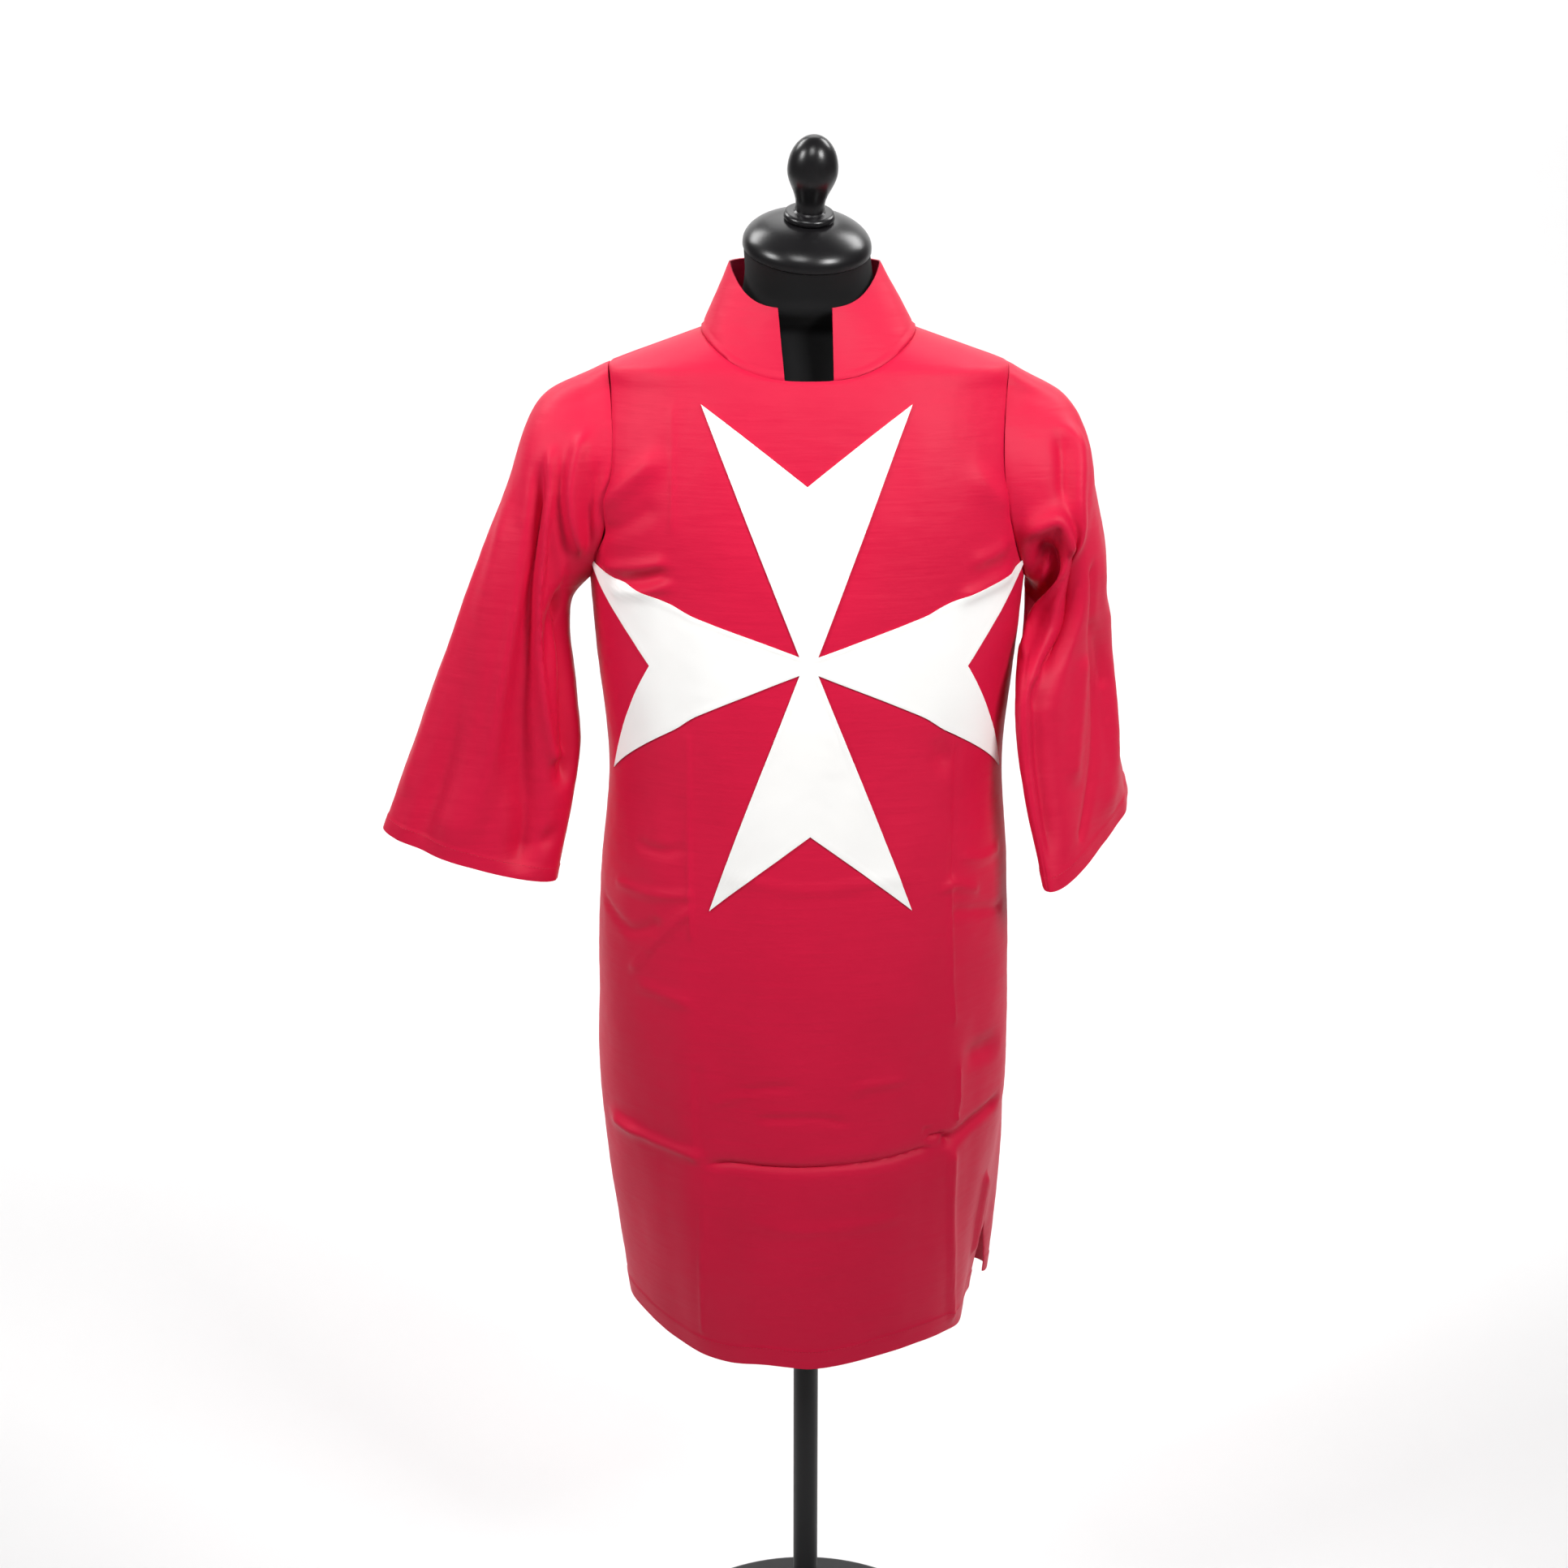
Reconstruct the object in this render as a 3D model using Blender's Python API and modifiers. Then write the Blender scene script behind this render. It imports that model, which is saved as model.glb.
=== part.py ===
"""Red knee-length tunic with a white eight-pointed cross, hanging on a black dress form.

Metres, +Z up, floor at z = 0, origin at the middle of the underside of the stand's base.
The tunic faces -Y. Left and right in the names are the wearer's, so the left sleeve is at +X.
"""

import math
from collections import namedtuple

import bmesh
import bpy
import numpy as np
from mathutils import Matrix, Vector

# Cloth and seams
WALL = 0.0015
SEAM_GAP = 0.0003
HALF_GAP = SEAM_GAP / 2
FRONT, BACK = -1, 1
WEARERS_RIGHT, WEARERS_LEFT = -1, 1

# Main heights and widths of the tunic
HEM_Z = 0.432
UNDERARM_Z = 1.255
SHOULDER_TIP = (0.197, 1.467)
NECK_POINT = (0.105, 1.500)
FRONT_NECK_Z = 1.458
NECKLINE_CURVE = 2.7
ARMHOLE_HOLLOW = 0.016
ARMHOLE_TILT = math.radians(23.6)
RIDGE_SLOPE = (SHOULDER_TIP[0] - NECK_POINT[0]) / (NECK_POINT[1] - SHOULDER_TIP[1])

# Horizontal sections of the tunic's body. The middle is x, the front, side and back are y, and
# a roundness of 2 is an ellipse, more is squarer.
Section = namedtuple("Section", "height middle half_width front side back front_round back_round")
BODY = (
    Section(0.430, 0.000, 0.196, -0.130, 0.055, 0.170, 1.80, 3.2),
    Section(0.550, -0.003, 0.2085, -0.132, 0.045, 0.165, 1.85, 3.0),
    Section(0.700, -0.0045, 0.2165, -0.134, 0.030, 0.158, 1.95, 2.8),
    Section(0.850, -0.0042, 0.2150, -0.135, 0.015, 0.150, 2.05, 2.6),
    Section(0.950, -0.0038, 0.2100, -0.134, 0.005, 0.140, 2.10, 2.5),
    Section(1.058, -0.0032, 0.2013, -0.134, 0.000, 0.132, 2.05, 2.4),
    Section(1.160, -0.001, 0.209, -0.138, 0.000, 0.132, 2.08, 2.3),
    Section(1.255, 0.000, 0.217, -0.138, 0.000, 0.130, 2.15, 2.3),
    Section(1.330, 0.000, 0.224, -0.132, 0.000, 0.128, 2.30, 2.3),
    Section(1.400, 0.000, 0.220, -0.120, 0.000, 0.118, 2.30, 2.3),
    Section(1.445, 0.000, 0.204, -0.107, 0.000, 0.100, 2.30, 2.3),
    Section(1.467, 0.000, 0.197, -0.098, 0.000, 0.090, 2.30, 2.3),
    Section(1.500, 0.000, 0.105, -0.075, 0.000, 0.070, 2.30, 2.3),
)

# Folds of the body. The angle runs round from the front's middle towards +X, in degrees, the
# fold fades out at its top and bottom, and a positive depth stands out.
Fold = namedtuple("Fold", "angle spread bottom top depth")
FOLD_FADE = 0.45
BODY_FOLDS = (
    Fold(77, 27, 0.10, 0.70, -0.043),
    Fold(108, 22, 0.10, 0.90, 0.018),
    Fold(45, 11, 0.30, 0.98, 0.0035),
    Fold(-32, 11, 0.30, 0.96, 0.0030),
    Fold(-88, 20, 0.20, 0.74, -0.006),
    Fold(152, 16, 0.15, 0.95, -0.009),
    Fold(-158, 14, 0.20, 0.88, -0.008),
    Fold(180, 12, 0.30, 0.80, 0.006),
)

# Rings of the sleeves, from the armhole down. Outer and inner are the ring's two edges, and
# front is the way from its middle to the middle of its front.
Ring = namedtuple("Ring", "outer inner front")
RIGHT_SLEEVE = (
    Ring((-0.2655, 0.004, 1.4295), (-0.238, 0.000, 1.235), (0.000, -0.072, 0.000)),
    Ring((-0.3027, 0.006, 1.342), (-0.243, -0.002, 1.201), (0.000, -0.070, 0.000)),
    Ring((-0.3520, 0.008, 1.218), (-0.2365, -0.004, 1.134), (0.000, -0.062, -0.006)),
    Ring((-0.399, 0.010, 1.091), (-0.234, -0.004, 1.065), (0.000, -0.052, -0.014)),
    Ring((-0.441, 0.012, 0.985), (-0.262, -0.014, 0.936), (-0.004, -0.048, 0.001)),
)
LEFT_SLEEVE = (
    Ring((0.2635, 0.020, 1.4200), (0.232, -0.008, 1.238), (0.018, -0.070, 0.000)),
    Ring((0.2765, 0.036, 1.362), (0.2285, -0.019, 1.223), (0.022, -0.059, 0.000)),
    Ring((0.289, 0.051, 1.3012), (0.226, -0.031, 1.207), (0.026, -0.046, 0.000)),
    Ring((0.3025, 0.088, 1.180), (0.2145, -0.078, 1.162), (0.028, -0.020, 0.000)),
    Ring((0.3195, 0.092, 1.0637), (0.2175, -0.088, 1.0747), (0.028, -0.016, 0.000)),
    Ring((0.337, 0.097, 1.012), (0.242, -0.097, 0.948), (0.021, -0.014, -0.001)),
)

# Folds of the sleeves. Angles run round from the outer edge over the front, in degrees, and
# places along the sleeve from 0 at the armhole to 1 at the cuff.
SleeveFold = namedtuple("SleeveFold", "start_angle end_angle spread start end depth")
RIGHT_SLEEVE_FOLDS = (
    SleeveFold(52, 62, 20, 0.30, 1.30, -0.009),
    SleeveFold(84, 88, 14, 0.20, 1.10, 0.006),
    SleeveFold(150, 120, 20, 0.08, 0.50, -0.010),
    SleeveFold(240, 255, 22, 0.25, 1.25, -0.008),
)
LEFT_SLEEVE_FOLDS = (
    SleeveFold(105, 158, 26, 0.08, 0.66, -0.022),
    SleeveFold(72, 60, 16, 0.15, 1.20, 0.005),
    SleeveFold(250, 235, 24, 0.20, 1.20, -0.008),
)

# Stand collar: its top edge
COLLAR_TOP_HALF_WIDTH = 0.0730
COLLAR_TOP_MIDDLE_X = -0.004
COLLAR_TOP_MIDDLE_Y = -0.013
COLLAR_TOP_HALF_DEPTH = 0.075
COLLAR_TOP_FRONT_Z = 1.525
COLLAR_TOP_BACK_Z = 1.565
COLLAR_TOP_RISE = 0.5
COLLAR_TOP_START = math.radians(20.8)

# Cross: eight points, four equal arms that widen from the middle
CROSS_CENTRE_Z = 1.189
CROSS_REACH = 0.250
CROSS_NOTCH = 0.172
CROSS_TIP_HALF_WIDTH = 0.1015
CROSS_NECK = 0.009
CROSS_DROOP = 0.60
CROSS_SPREAD = 10.0
CROSS_TAPER = -0.12
CROSS_LEAN = -0.010
CROSS_FLARE = 0.35
CROSS_UPPER_FLARE = 30.0
CROSS_DRAW = 0.009
CROSS_DRAW_FROM = 0.110
CROSS_DRAW_TO = 0.150
CROSS_SHEET_MARGIN = 0.03
CROSS_THICKNESS = 0.001
CROSS_EDGE_STEPS = 5
CROSS_CUTTER_DEPTH = 0.30
WRAP_STEPS = 240

# Dress form: horizontal sections, the neck's leaning forward
FormRing = namedtuple("FormRing", "height half_width front side back tilt")
FORM = (
    FormRing(0.720, 0.150, -0.088, 0.000, 0.092, 0),
    FormRing(0.728, 0.162, -0.098, 0.000, 0.104, 0),
    FormRing(0.800, 0.170, -0.105, 0.000, 0.112, 0),
    FormRing(0.900, 0.167, -0.105, 0.000, 0.110, 0),
    FormRing(0.980, 0.154, -0.101, 0.000, 0.098, 0),
    FormRing(1.058, 0.146, -0.100, 0.000, 0.090, 0),
    FormRing(1.160, 0.157, -0.106, 0.000, 0.092, 0),
    FormRing(1.260, 0.172, -0.112, 0.000, 0.098, 0),
    FormRing(1.350, 0.182, -0.102, 0.000, 0.097, 0),
    FormRing(1.410, 0.186, -0.088, 0.000, 0.084, 0),
    FormRing(1.445, 0.1885, -0.076, 0.000, 0.072, 0),
    FormRing(1.4683, 0.1895, -0.064, 0.000, 0.060, 0),
    FormRing(1.4821, 0.1510, -0.056, 0.000, 0.053, 0),
    FormRing(1.4986, 0.1025, -0.050, 0.000, 0.048, 0),
    FormRing(1.512, 0.083, -0.060, -0.003, 0.051, 4),
    FormRing(1.530, 0.068, -0.073, -0.009, 0.055, 10),
    FormRing(1.552, 0.0625, -0.079, -0.0165, 0.046, 18),
)
FORM_SIDES = 32

# Neck's top, neck cap and finial, turned about the neck's axis, which leans forward and a
# little to the side
NECK_TOP = Vector((-0.002, -0.030, 1.5783))
NECK_TOP_RADIUS = 0.0612
NECK_LEAN = math.radians(21)
NECK_SIDE_LEAN = math.radians(4)
CAP_RIM = 0.0625
CAP_RIM_HEIGHT = 0.004
CAP_DOME = 0.028
CAP_SEAT = 0.0250
FINIAL_RING = 0.0250
FINIAL_RING_HEIGHT = 0.008
FINIAL_NECK = 0.0141
FINIAL_NECK_HEIGHT = 0.0145
FINIAL_EGG = 0.0243
FINIAL_EGG_MIDDLE = 0.050
FINIAL_HEIGHT = 0.0835
TURNED_STEPS = 24
MERGE_THRESHOLD = 0.00001
CAP_STEPS = 6
EGG_STEPS = 6
RING_STEPS = 4
SMALL_BEVEL = 0.0015

# Stand
POLE_RADIUS = 0.0135
BASE_RADIUS = 0.175
BASE_HEIGHT = 0.022
BASE_EDGE = 0.010
BASE_EDGE_STEPS = 4

# Fineness of the solids
HALF_COLUMNS = 12
NECK_COLUMNS = 7
LOWER_ROWS = 14
ARM_STEPS = 12
SLEEVE_STEPS = 16
COLLAR_ROWS = 4
SLOPE_STEP = 0.001
TURN_STEP = 0.01
CLOTH_SHARP = math.radians(50)
FORM_SHARP = math.radians(40)

# Colours and finish: colour, roughness, metallic
RED_CLOTH = ((0.62, 0.016, 0.055), 0.62, 0.0)
WHITE_CLOTH = ((0.86, 0.85, 0.82), 0.75, 0.0)
BLACK_CLOTH = ((0.012, 0.012, 0.013), 0.85, 0.0)
BLACK_WOOD = ((0.010, 0.009, 0.009), 0.18, 0.0)
BLACK_METAL = ((0.015, 0.015, 0.016), 0.40, 0.6)


def clear_scene():
    for thing in list(bpy.data.objects):
        bpy.data.objects.remove(thing, do_unlink=True)


def make_collection(name):
    collection = bpy.data.collections.new(name)
    bpy.context.scene.collection.children.link(collection)
    return collection


def make_material(name, finish):
    colour, roughness, metallic = finish
    material = bpy.data.materials.new(name)
    material.use_nodes = True
    shader = material.node_tree.nodes["Principled BSDF"]
    shader.inputs["Base Color"].default_value = (*colour, 1.0)
    shader.inputs["Roughness"].default_value = roughness
    shader.inputs["Metallic"].default_value = metallic
    return material


def unit(vectors):
    """Vectors along the last axis, each made one metre long."""
    return vectors / np.maximum(np.linalg.norm(vectors, axis=-1, keepdims=True), 1e-12)


def smooth_step(value):
    held = np.clip(value, 0.0, 1.0)
    return held * held * (3.0 - 2.0 * held)


def curve_through(places, values, at):
    """Cubic curve through values at rising places, read at other places."""
    places = np.asarray(places, dtype=float)
    values = np.asarray(values, dtype=float)
    slopes = np.gradient(values, places, axis=0)
    index = np.clip(np.searchsorted(places, at, side="right") - 1, 0, len(places) - 2)
    span = places[index + 1] - places[index]
    part = np.clip((at - places[index]) / span, 0.0, 1.0)
    if values.ndim > 1:
        extra = (...,) + (None,) * (values.ndim - 1)
        span = span[extra]
        part = part[extra]
    start = (1 + 2 * part) * (1 - part) ** 2 * values[index]
    leave = part * (1 - part) ** 2 * span * slopes[index]
    end = part**2 * (3 - 2 * part) * values[index + 1]
    arrive = part**2 * (part - 1) * span * slopes[index + 1]
    return start + leave + end + arrive


def body_column(name, heights):
    """One column of the body's sections at any heights."""
    places = [section.height for section in BODY]
    values = [getattr(section, name) for section in BODY]
    return curve_through(places, values, heights)


def half_width(heights):
    """Half-width of the body, which follows the shoulder seams above their tips."""
    ridge = SHOULDER_TIP[0] - (heights - SHOULDER_TIP[1]) * RIDGE_SLOPE
    below = body_column("half_width", np.minimum(heights, SHOULDER_TIP[1]))
    return np.where(heights > SHOULDER_TIP[1], ridge, below)


def half_depth(heights, face):
    edge = body_column("front" if face == FRONT else "back", heights)
    return np.abs(edge - body_column("side", heights))


def body_push(across, heights, face):
    """How far the folds move the body's cloth out, for a place across it from -1 to 1."""
    angle = np.degrees(np.arcsin(np.clip(across, -1.0, 1.0)))
    if face == BACK:
        angle = 180.0 - angle
    push = np.zeros_like(angle)
    for fold in BODY_FOLDS:
        away = (angle - fold.angle + 180.0) % 360.0 - 180.0
        near = np.clip(np.abs(away) / fold.spread, 0.0, 1.0)
        fade = FOLD_FADE * (fold.top - fold.bottom)
        below = smooth_step((fold.top - heights) / fade)
        above = smooth_step((heights - fold.bottom) / fade)
        push += fold.depth * np.cos(near * math.pi / 2) ** 2 * below * above
    return push


def body_cloth(x, z, face):
    """Points of the body's cloth on its front or back, x from its middle, and the way out there."""
    width = half_width(z)
    depth = half_depth(z, face)
    side = body_column("side", z)
    roundness = body_column("front_round" if face == FRONT else "back_round", z)
    above = z + SLOPE_STEP
    below = z - SLOPE_STEP
    width_rise = (half_width(above) - half_width(below)) / (2 * SLOPE_STEP)
    depth_rise = (half_depth(above, face) - half_depth(below, face)) / (2 * SLOPE_STEP)
    side_rise = (body_column("side", above) - body_column("side", below)) / (2 * SLOPE_STEP)
    across = np.clip(np.abs(x) / width, 0.0, 1.0)
    along = np.maximum(1.0 - across**roundness, 0.0) ** (1.0 / roundness)
    out_x = np.sign(x) * across ** (roundness - 1) / width
    out_y = face * along ** (roundness - 1) / depth
    out_z = -(across**roundness) * width_rise / width
    out_z -= along**roundness * depth_rise / depth
    out_z -= out_y * side_rise
    out = unit(np.stack([out_x, out_y, out_z], axis=-1))
    middle = body_column("middle", z)
    points = np.stack([middle + x, side + face * depth * along, z], axis=-1)
    push = body_push(np.sign(x) * across, z, face)
    return points + out * push[..., None], out


def armhole_edge(share):
    """x and z of the armhole's edge, from 0 at the underarm to 1 at the shoulder tip."""
    underarm_x = float(half_width(np.array(UNDERARM_Z)))
    x = underarm_x + (SHOULDER_TIP[0] - underarm_x) * share
    x = x - ARMHOLE_HOLLOW * np.sin(math.pi * share)
    z = UNDERARM_Z + (SHOULDER_TIP[1] - UNDERARM_Z) * share
    return x, z


def armhole_shares(steps):
    return (1.0 - np.cos(np.linspace(0.0, math.pi, steps + 1))) / 2.0


def armhole_ring(side, steps):
    """The armhole's loop from the tip over the front, its seam's plane and the way outwards."""
    share = armhole_shares(steps)[::-1]
    x, z = armhole_edge(share)
    front, _ = body_cloth(side * x, z, FRONT)
    back, _ = body_cloth(side * x, z, BACK)
    loop = np.concatenate([front, back[-2:0:-1]])
    tangent = unit(np.roll(loop, -1, axis=0) - np.roll(loop, 1, axis=0))
    sideways = np.array([float(side), 0.0, 0.0])
    spoke = unit(np.cross(tangent, sideways))
    spoke *= np.sign(np.sum(spoke * (loop - loop.mean(axis=0)), axis=1, keepdims=True))
    out = unit(spoke * math.cos(ARMHOLE_TILT) + sideways * math.sin(ARMHOLE_TILT))
    onward = unit(np.cross(tangent, out))
    onward *= np.sign(onward[:, :1] * side)
    return loop, out, onward


def neckline(angles):
    """Neckline from the front's middle (0) round to the back's (pi), on the side of +X."""
    x = NECK_POINT[0] * np.sin(angles)
    rise = (NECK_POINT[1] - FRONT_NECK_Z) * np.abs(np.sin(angles)) ** NECKLINE_CURVE
    z = np.where(angles < math.pi / 2, FRONT_NECK_Z + rise, NECK_POINT[1])
    front, front_out = body_cloth(x, z, FRONT)
    back, back_out = body_cloth(x, z, BACK)
    in_front = (angles < math.pi / 2)[:, None]
    return np.where(in_front, front, back), np.where(in_front, front_out, back_out)


def collar_top(angles):
    """Top edge of the collar beside each point of the neckline."""
    start = math.pi / 2 / NECK_COLUMNS
    turned = COLLAR_TOP_START + (angles - start) * (math.pi - COLLAR_TOP_START) / (math.pi - start)
    x = COLLAR_TOP_HALF_WIDTH * np.sin(turned)
    y = COLLAR_TOP_MIDDLE_Y - COLLAR_TOP_HALF_DEPTH * np.cos(turned)
    rise = smooth_step((1.0 - np.cos(turned)) / 2.0 / COLLAR_TOP_RISE)
    z = COLLAR_TOP_FRONT_Z + (COLLAR_TOP_BACK_Z - COLLAR_TOP_FRONT_Z) * rise
    return np.stack([x, y, z], axis=-1)


def neck_seam(angles):
    """Neckline points with their seam's plane and the way up into the collar."""
    points, cloth_out = neckline(angles)
    ahead, _ = neckline(np.minimum(angles + TURN_STEP, math.pi))
    behind, _ = neckline(np.maximum(angles - TURN_STEP, 0.0))
    tangent = unit(ahead - behind)
    collar_out = unit(np.cross(tangent, collar_top(angles) - points))
    collar_out *= np.sign(np.sum(collar_out * cloth_out, axis=1, keepdims=True))
    out = unit(cloth_out + collar_out)
    onward = unit(np.cross(tangent, out))
    onward *= np.sign(onward[:, 2:3])
    return points, out, onward


def mirrored(values):
    return values * np.array([-1.0, 1.0, 1.0])


def panel_outline(columns, face):
    """x and z of a panel's top edge for places across it from -1 to 1."""
    neck_share = NECK_COLUMNS / HALF_COLUMNS
    place = np.abs(columns)
    on_neck = NECK_POINT[0] * np.sin(np.minimum(place / neck_share, 1.0) * math.pi / 2)
    rise = (on_neck / NECK_POINT[0]) ** NECKLINE_CURVE
    neck_z = FRONT_NECK_Z + (NECK_POINT[1] - FRONT_NECK_Z) * rise
    if face == BACK:
        neck_z = np.full_like(on_neck, NECK_POINT[1])
    down = (place - neck_share) / (1.0 - neck_share)
    on_shoulder = NECK_POINT[0] + (SHOULDER_TIP[0] - NECK_POINT[0]) * down
    shoulder_z = NECK_POINT[1] + (SHOULDER_TIP[1] - NECK_POINT[1]) * down
    beside = place > neck_share
    x = np.where(beside, on_shoulder, on_neck)
    z = np.where(beside, shoulder_z, neck_z)
    return np.sign(columns) * x, z


def panel_grid(face):
    """Middle points of a front or back panel and the way through its wall, row by row."""
    columns = np.linspace(-1.0, 1.0, 2 * HALF_COLUMNS + 1)
    turned = np.sin(columns * math.pi / 2)
    rows = []
    for z in np.linspace(HEM_Z, UNDERARM_Z, LOWER_ROWS + 1):
        height = np.full_like(columns, z)
        rows.append(body_cloth(half_width(height) * turned, height, face))
    top_x, top_z = panel_outline(columns, face)
    low_x = half_width(np.full_like(columns, UNDERARM_Z)) * turned
    for share in armhole_shares(ARM_STEPS)[1:]:
        hollow = np.sign(columns) * columns**4 * ARMHOLE_HOLLOW * math.sin(math.pi * share)
        x = low_x + (top_x - low_x) * share - hollow
        z = UNDERARM_Z + (top_z - UNDERARM_Z) * share
        rows.append(body_cloth(x, z, face))
    points = np.stack([row[0] for row in rows])
    out = np.stack([row[1] for row in rows])
    set_panel_seams(points, out, face)
    return points, out


def set_panel_seams(points, out, face):
    """Draw a panel's edges back by half a seam's gap and turn them into the seams' planes."""
    beside_neck = HALF_COLUMNS - NECK_COLUMNS
    points[:, 0, 1] += face * HALF_GAP
    points[:, -1, 1] += face * HALF_GAP
    points[-1, 1 : beside_neck + 1, 1] += face * HALF_GAP
    points[-1, -beside_neck - 1 : -1, 1] += face * HALF_GAP
    for side, column in ((WEARERS_RIGHT, 0), (WEARERS_LEFT, -1)):
        _, arm_out, onward = armhole_ring(side, ARM_STEPS)
        order = (ARM_STEPS + face * np.arange(ARM_STEPS + 1)) % (2 * ARM_STEPS)
        rows = slice(LOWER_ROWS, None)
        points[rows, column] -= onward[order] * HALF_GAP
        out[rows, column] = arm_out[order]
    angles = np.linspace(0.0, math.pi / 2, NECK_COLUMNS + 1)
    if face == BACK:
        angles = math.pi - angles
    _, neck_out, upward = neck_seam(angles)
    for step in range(NECK_COLUMNS + 1):
        for column, flip in ((HALF_COLUMNS + step, 1.0), (HALF_COLUMNS - step, -1.0)):
            turn = np.array([flip, 1.0, 1.0])
            points[-1, column] -= upward[step] * turn * HALF_GAP
            out[-1, column] = neck_out[step] * turn


def sleeve_grid(side, rings, folds):
    """Middle points of a sleeve, station by station from the armhole, and the way out."""
    loop, arm_out, onward = armhole_ring(side, ARM_STEPS)
    count = 2 * ARM_STEPS
    angles = np.arange(count) * 2 * math.pi / count
    stations = [loop + onward * HALF_GAP]
    for ring in rings:
        outer, inner, front = (np.array(part) for part in ring)
        middle = (outer + inner) / 2
        around = np.cos(angles)[:, None] * (outer - middle) + np.sin(angles)[:, None] * front
        stations.append(middle + around)
    stations = np.stack(stations)
    steps = np.linalg.norm(np.diff(stations.mean(axis=1), axis=0), axis=1)
    places = np.concatenate([[0.0], np.cumsum(steps)]) / steps.sum()
    along = np.linspace(0.0, 1.0, SLEEVE_STEPS + 1)
    points = curve_through(places, stations, along)
    out = sleeve_normals(points)
    push = sleeve_push(np.degrees(angles)[None, :], along[:, None], folds)
    points = points + out * push[..., None]
    out = sleeve_normals(points)
    out[0] = arm_out
    return points, out


def sleeve_push(angles, along, folds):
    push = np.zeros(np.broadcast_shapes(angles.shape, along.shape))
    for fold in folds:
        part = np.clip((along - fold.start) / (fold.end - fold.start), 0.0, 1.0)
        middle = fold.start_angle + (fold.end_angle - fold.start_angle) * part
        away = np.clip(np.abs(angles - middle) / fold.spread, 0.0, 1.0)
        push = push + fold.depth * np.cos(away * math.pi / 2) ** 2 * np.sin(part * math.pi) ** 2
    return push


def sleeve_normals(points):
    """Ways out of a tube given as rings of points."""
    around = np.roll(points, -1, axis=1) - np.roll(points, 1, axis=1)
    down = np.gradient(points, axis=0)
    out = unit(np.cross(around, down))
    inwards = points.mean(axis=1, keepdims=True) - points
    return np.where(np.sum(out * inwards) > 0, -out, out)


def collar_grid():
    """Middle points of the collar, row by row from its seam, and the way out."""
    step = math.pi / 2 / NECK_COLUMNS
    angles = np.arange(1, 2 * NECK_COLUMNS + 1) * step
    base, seam_out, upward = neck_seam(angles)
    base = base + upward * HALF_GAP
    top = collar_top(angles)
    base = np.concatenate([base, mirrored(base[-2::-1])])
    top = np.concatenate([top, mirrored(top[-2::-1])])
    top[:, 0] += COLLAR_TOP_MIDDLE_X
    seam_out = np.concatenate([seam_out, mirrored(seam_out[-2::-1])])
    share = np.linspace(0.0, 1.0, COLLAR_ROWS + 1)[:, None, None]
    points = base + (top - base) * share
    out = unit(np.cross(np.gradient(points, axis=1), np.gradient(points, axis=0)))
    middle = points.mean(axis=(0, 1))
    out = np.where(np.sum(out * (points - middle)) < 0, -out, out)
    out[0] = seam_out
    return points, out


def grid_faces(rows, columns, closed, start):
    """Triangles over a grid of points, each cell cut the same way."""
    faces = []
    for row in range(rows - 1):
        for column in range(columns if closed else columns - 1):
            after = (column + 1) % columns
            a = start + row * columns + column
            b = start + row * columns + after
            c = start + (row + 1) * columns + after
            d = start + (row + 1) * columns + column
            faces += [(a, b, c), (a, c, d)]
    return faces


def rim_loops(rows, columns, closed):
    """The open edges of a grid, each as a list of point numbers."""
    low = [column for column in range(columns)]
    high = [(rows - 1) * columns + column for column in range(columns)]
    if closed:
        return [low + low[:1], high + high[:1]]
    right = [row * columns + columns - 1 for row in range(1, rows)]
    left = [row * columns for row in range(rows - 2, -1, -1)]
    return [low + right + high[-2::-1] + left]


def wall_mesh(name, lower, upper, closed=False):
    """A closed wall between two grids of points."""
    rows, columns = lower.shape[:2]
    count = rows * columns
    points = np.concatenate([lower.reshape(-1, 3), upper.reshape(-1, 3)])
    faces = grid_faces(rows, columns, closed, count)
    faces += [face[::-1] for face in grid_faces(rows, columns, closed, 0)]
    for loop in rim_loops(rows, columns, closed):
        for first, second in zip(loop[:-1], loop[1:]):
            faces += [(first, second, second + count), (first, second + count, first + count)]
    mesh = bpy.data.meshes.new(name)
    mesh.from_pydata(points.tolist(), [], faces)
    shape = bmesh.new()
    shape.from_mesh(mesh)
    bmesh.ops.recalc_face_normals(shape, faces=shape.faces)
    shape.to_mesh(mesh)
    shape.free()
    return mesh


def add_object(name, mesh, material, collection):
    thing = bpy.data.objects.new(name, mesh)
    if material:
        mesh.materials.append(material)
    collection.objects.link(thing)
    return thing


def add_cloth(name, grid, material, collection, closed=False):
    points, out = grid
    mesh = wall_mesh(name, points - out * WALL / 2, points + out * WALL / 2, closed)
    mesh.shade_smooth()
    mesh.set_sharp_from_angle(angle=CLOTH_SHARP)
    return add_object(name, mesh, material, collection)


def cross_outline():
    """The cross's outline as it lies flat, from its middle, across and up."""
    arm = (
        (-CROSS_NECK, CROSS_NECK),
        (-CROSS_TIP_HALF_WIDTH, CROSS_REACH),
        (0.0, CROSS_NOTCH),
        (CROSS_TIP_HALF_WIDTH, CROSS_REACH),
    )
    corners = []
    for turn in range(4):
        angle = -turn * math.pi / 2
        for across, up in arm:
            x = across * math.cos(angle) - up * math.sin(angle)
            y = across * math.sin(angle) + up * math.cos(angle)
            corners.append(np.array([x, y]))
    outline = []
    for index, corner in enumerate(corners):
        following = corners[(index + 1) % len(corners)]
        for step in range(CROSS_EDGE_STEPS):
            outline.append(corner + (following - corner) * step / CROSS_EDGE_STEPS)
    return outline


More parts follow.
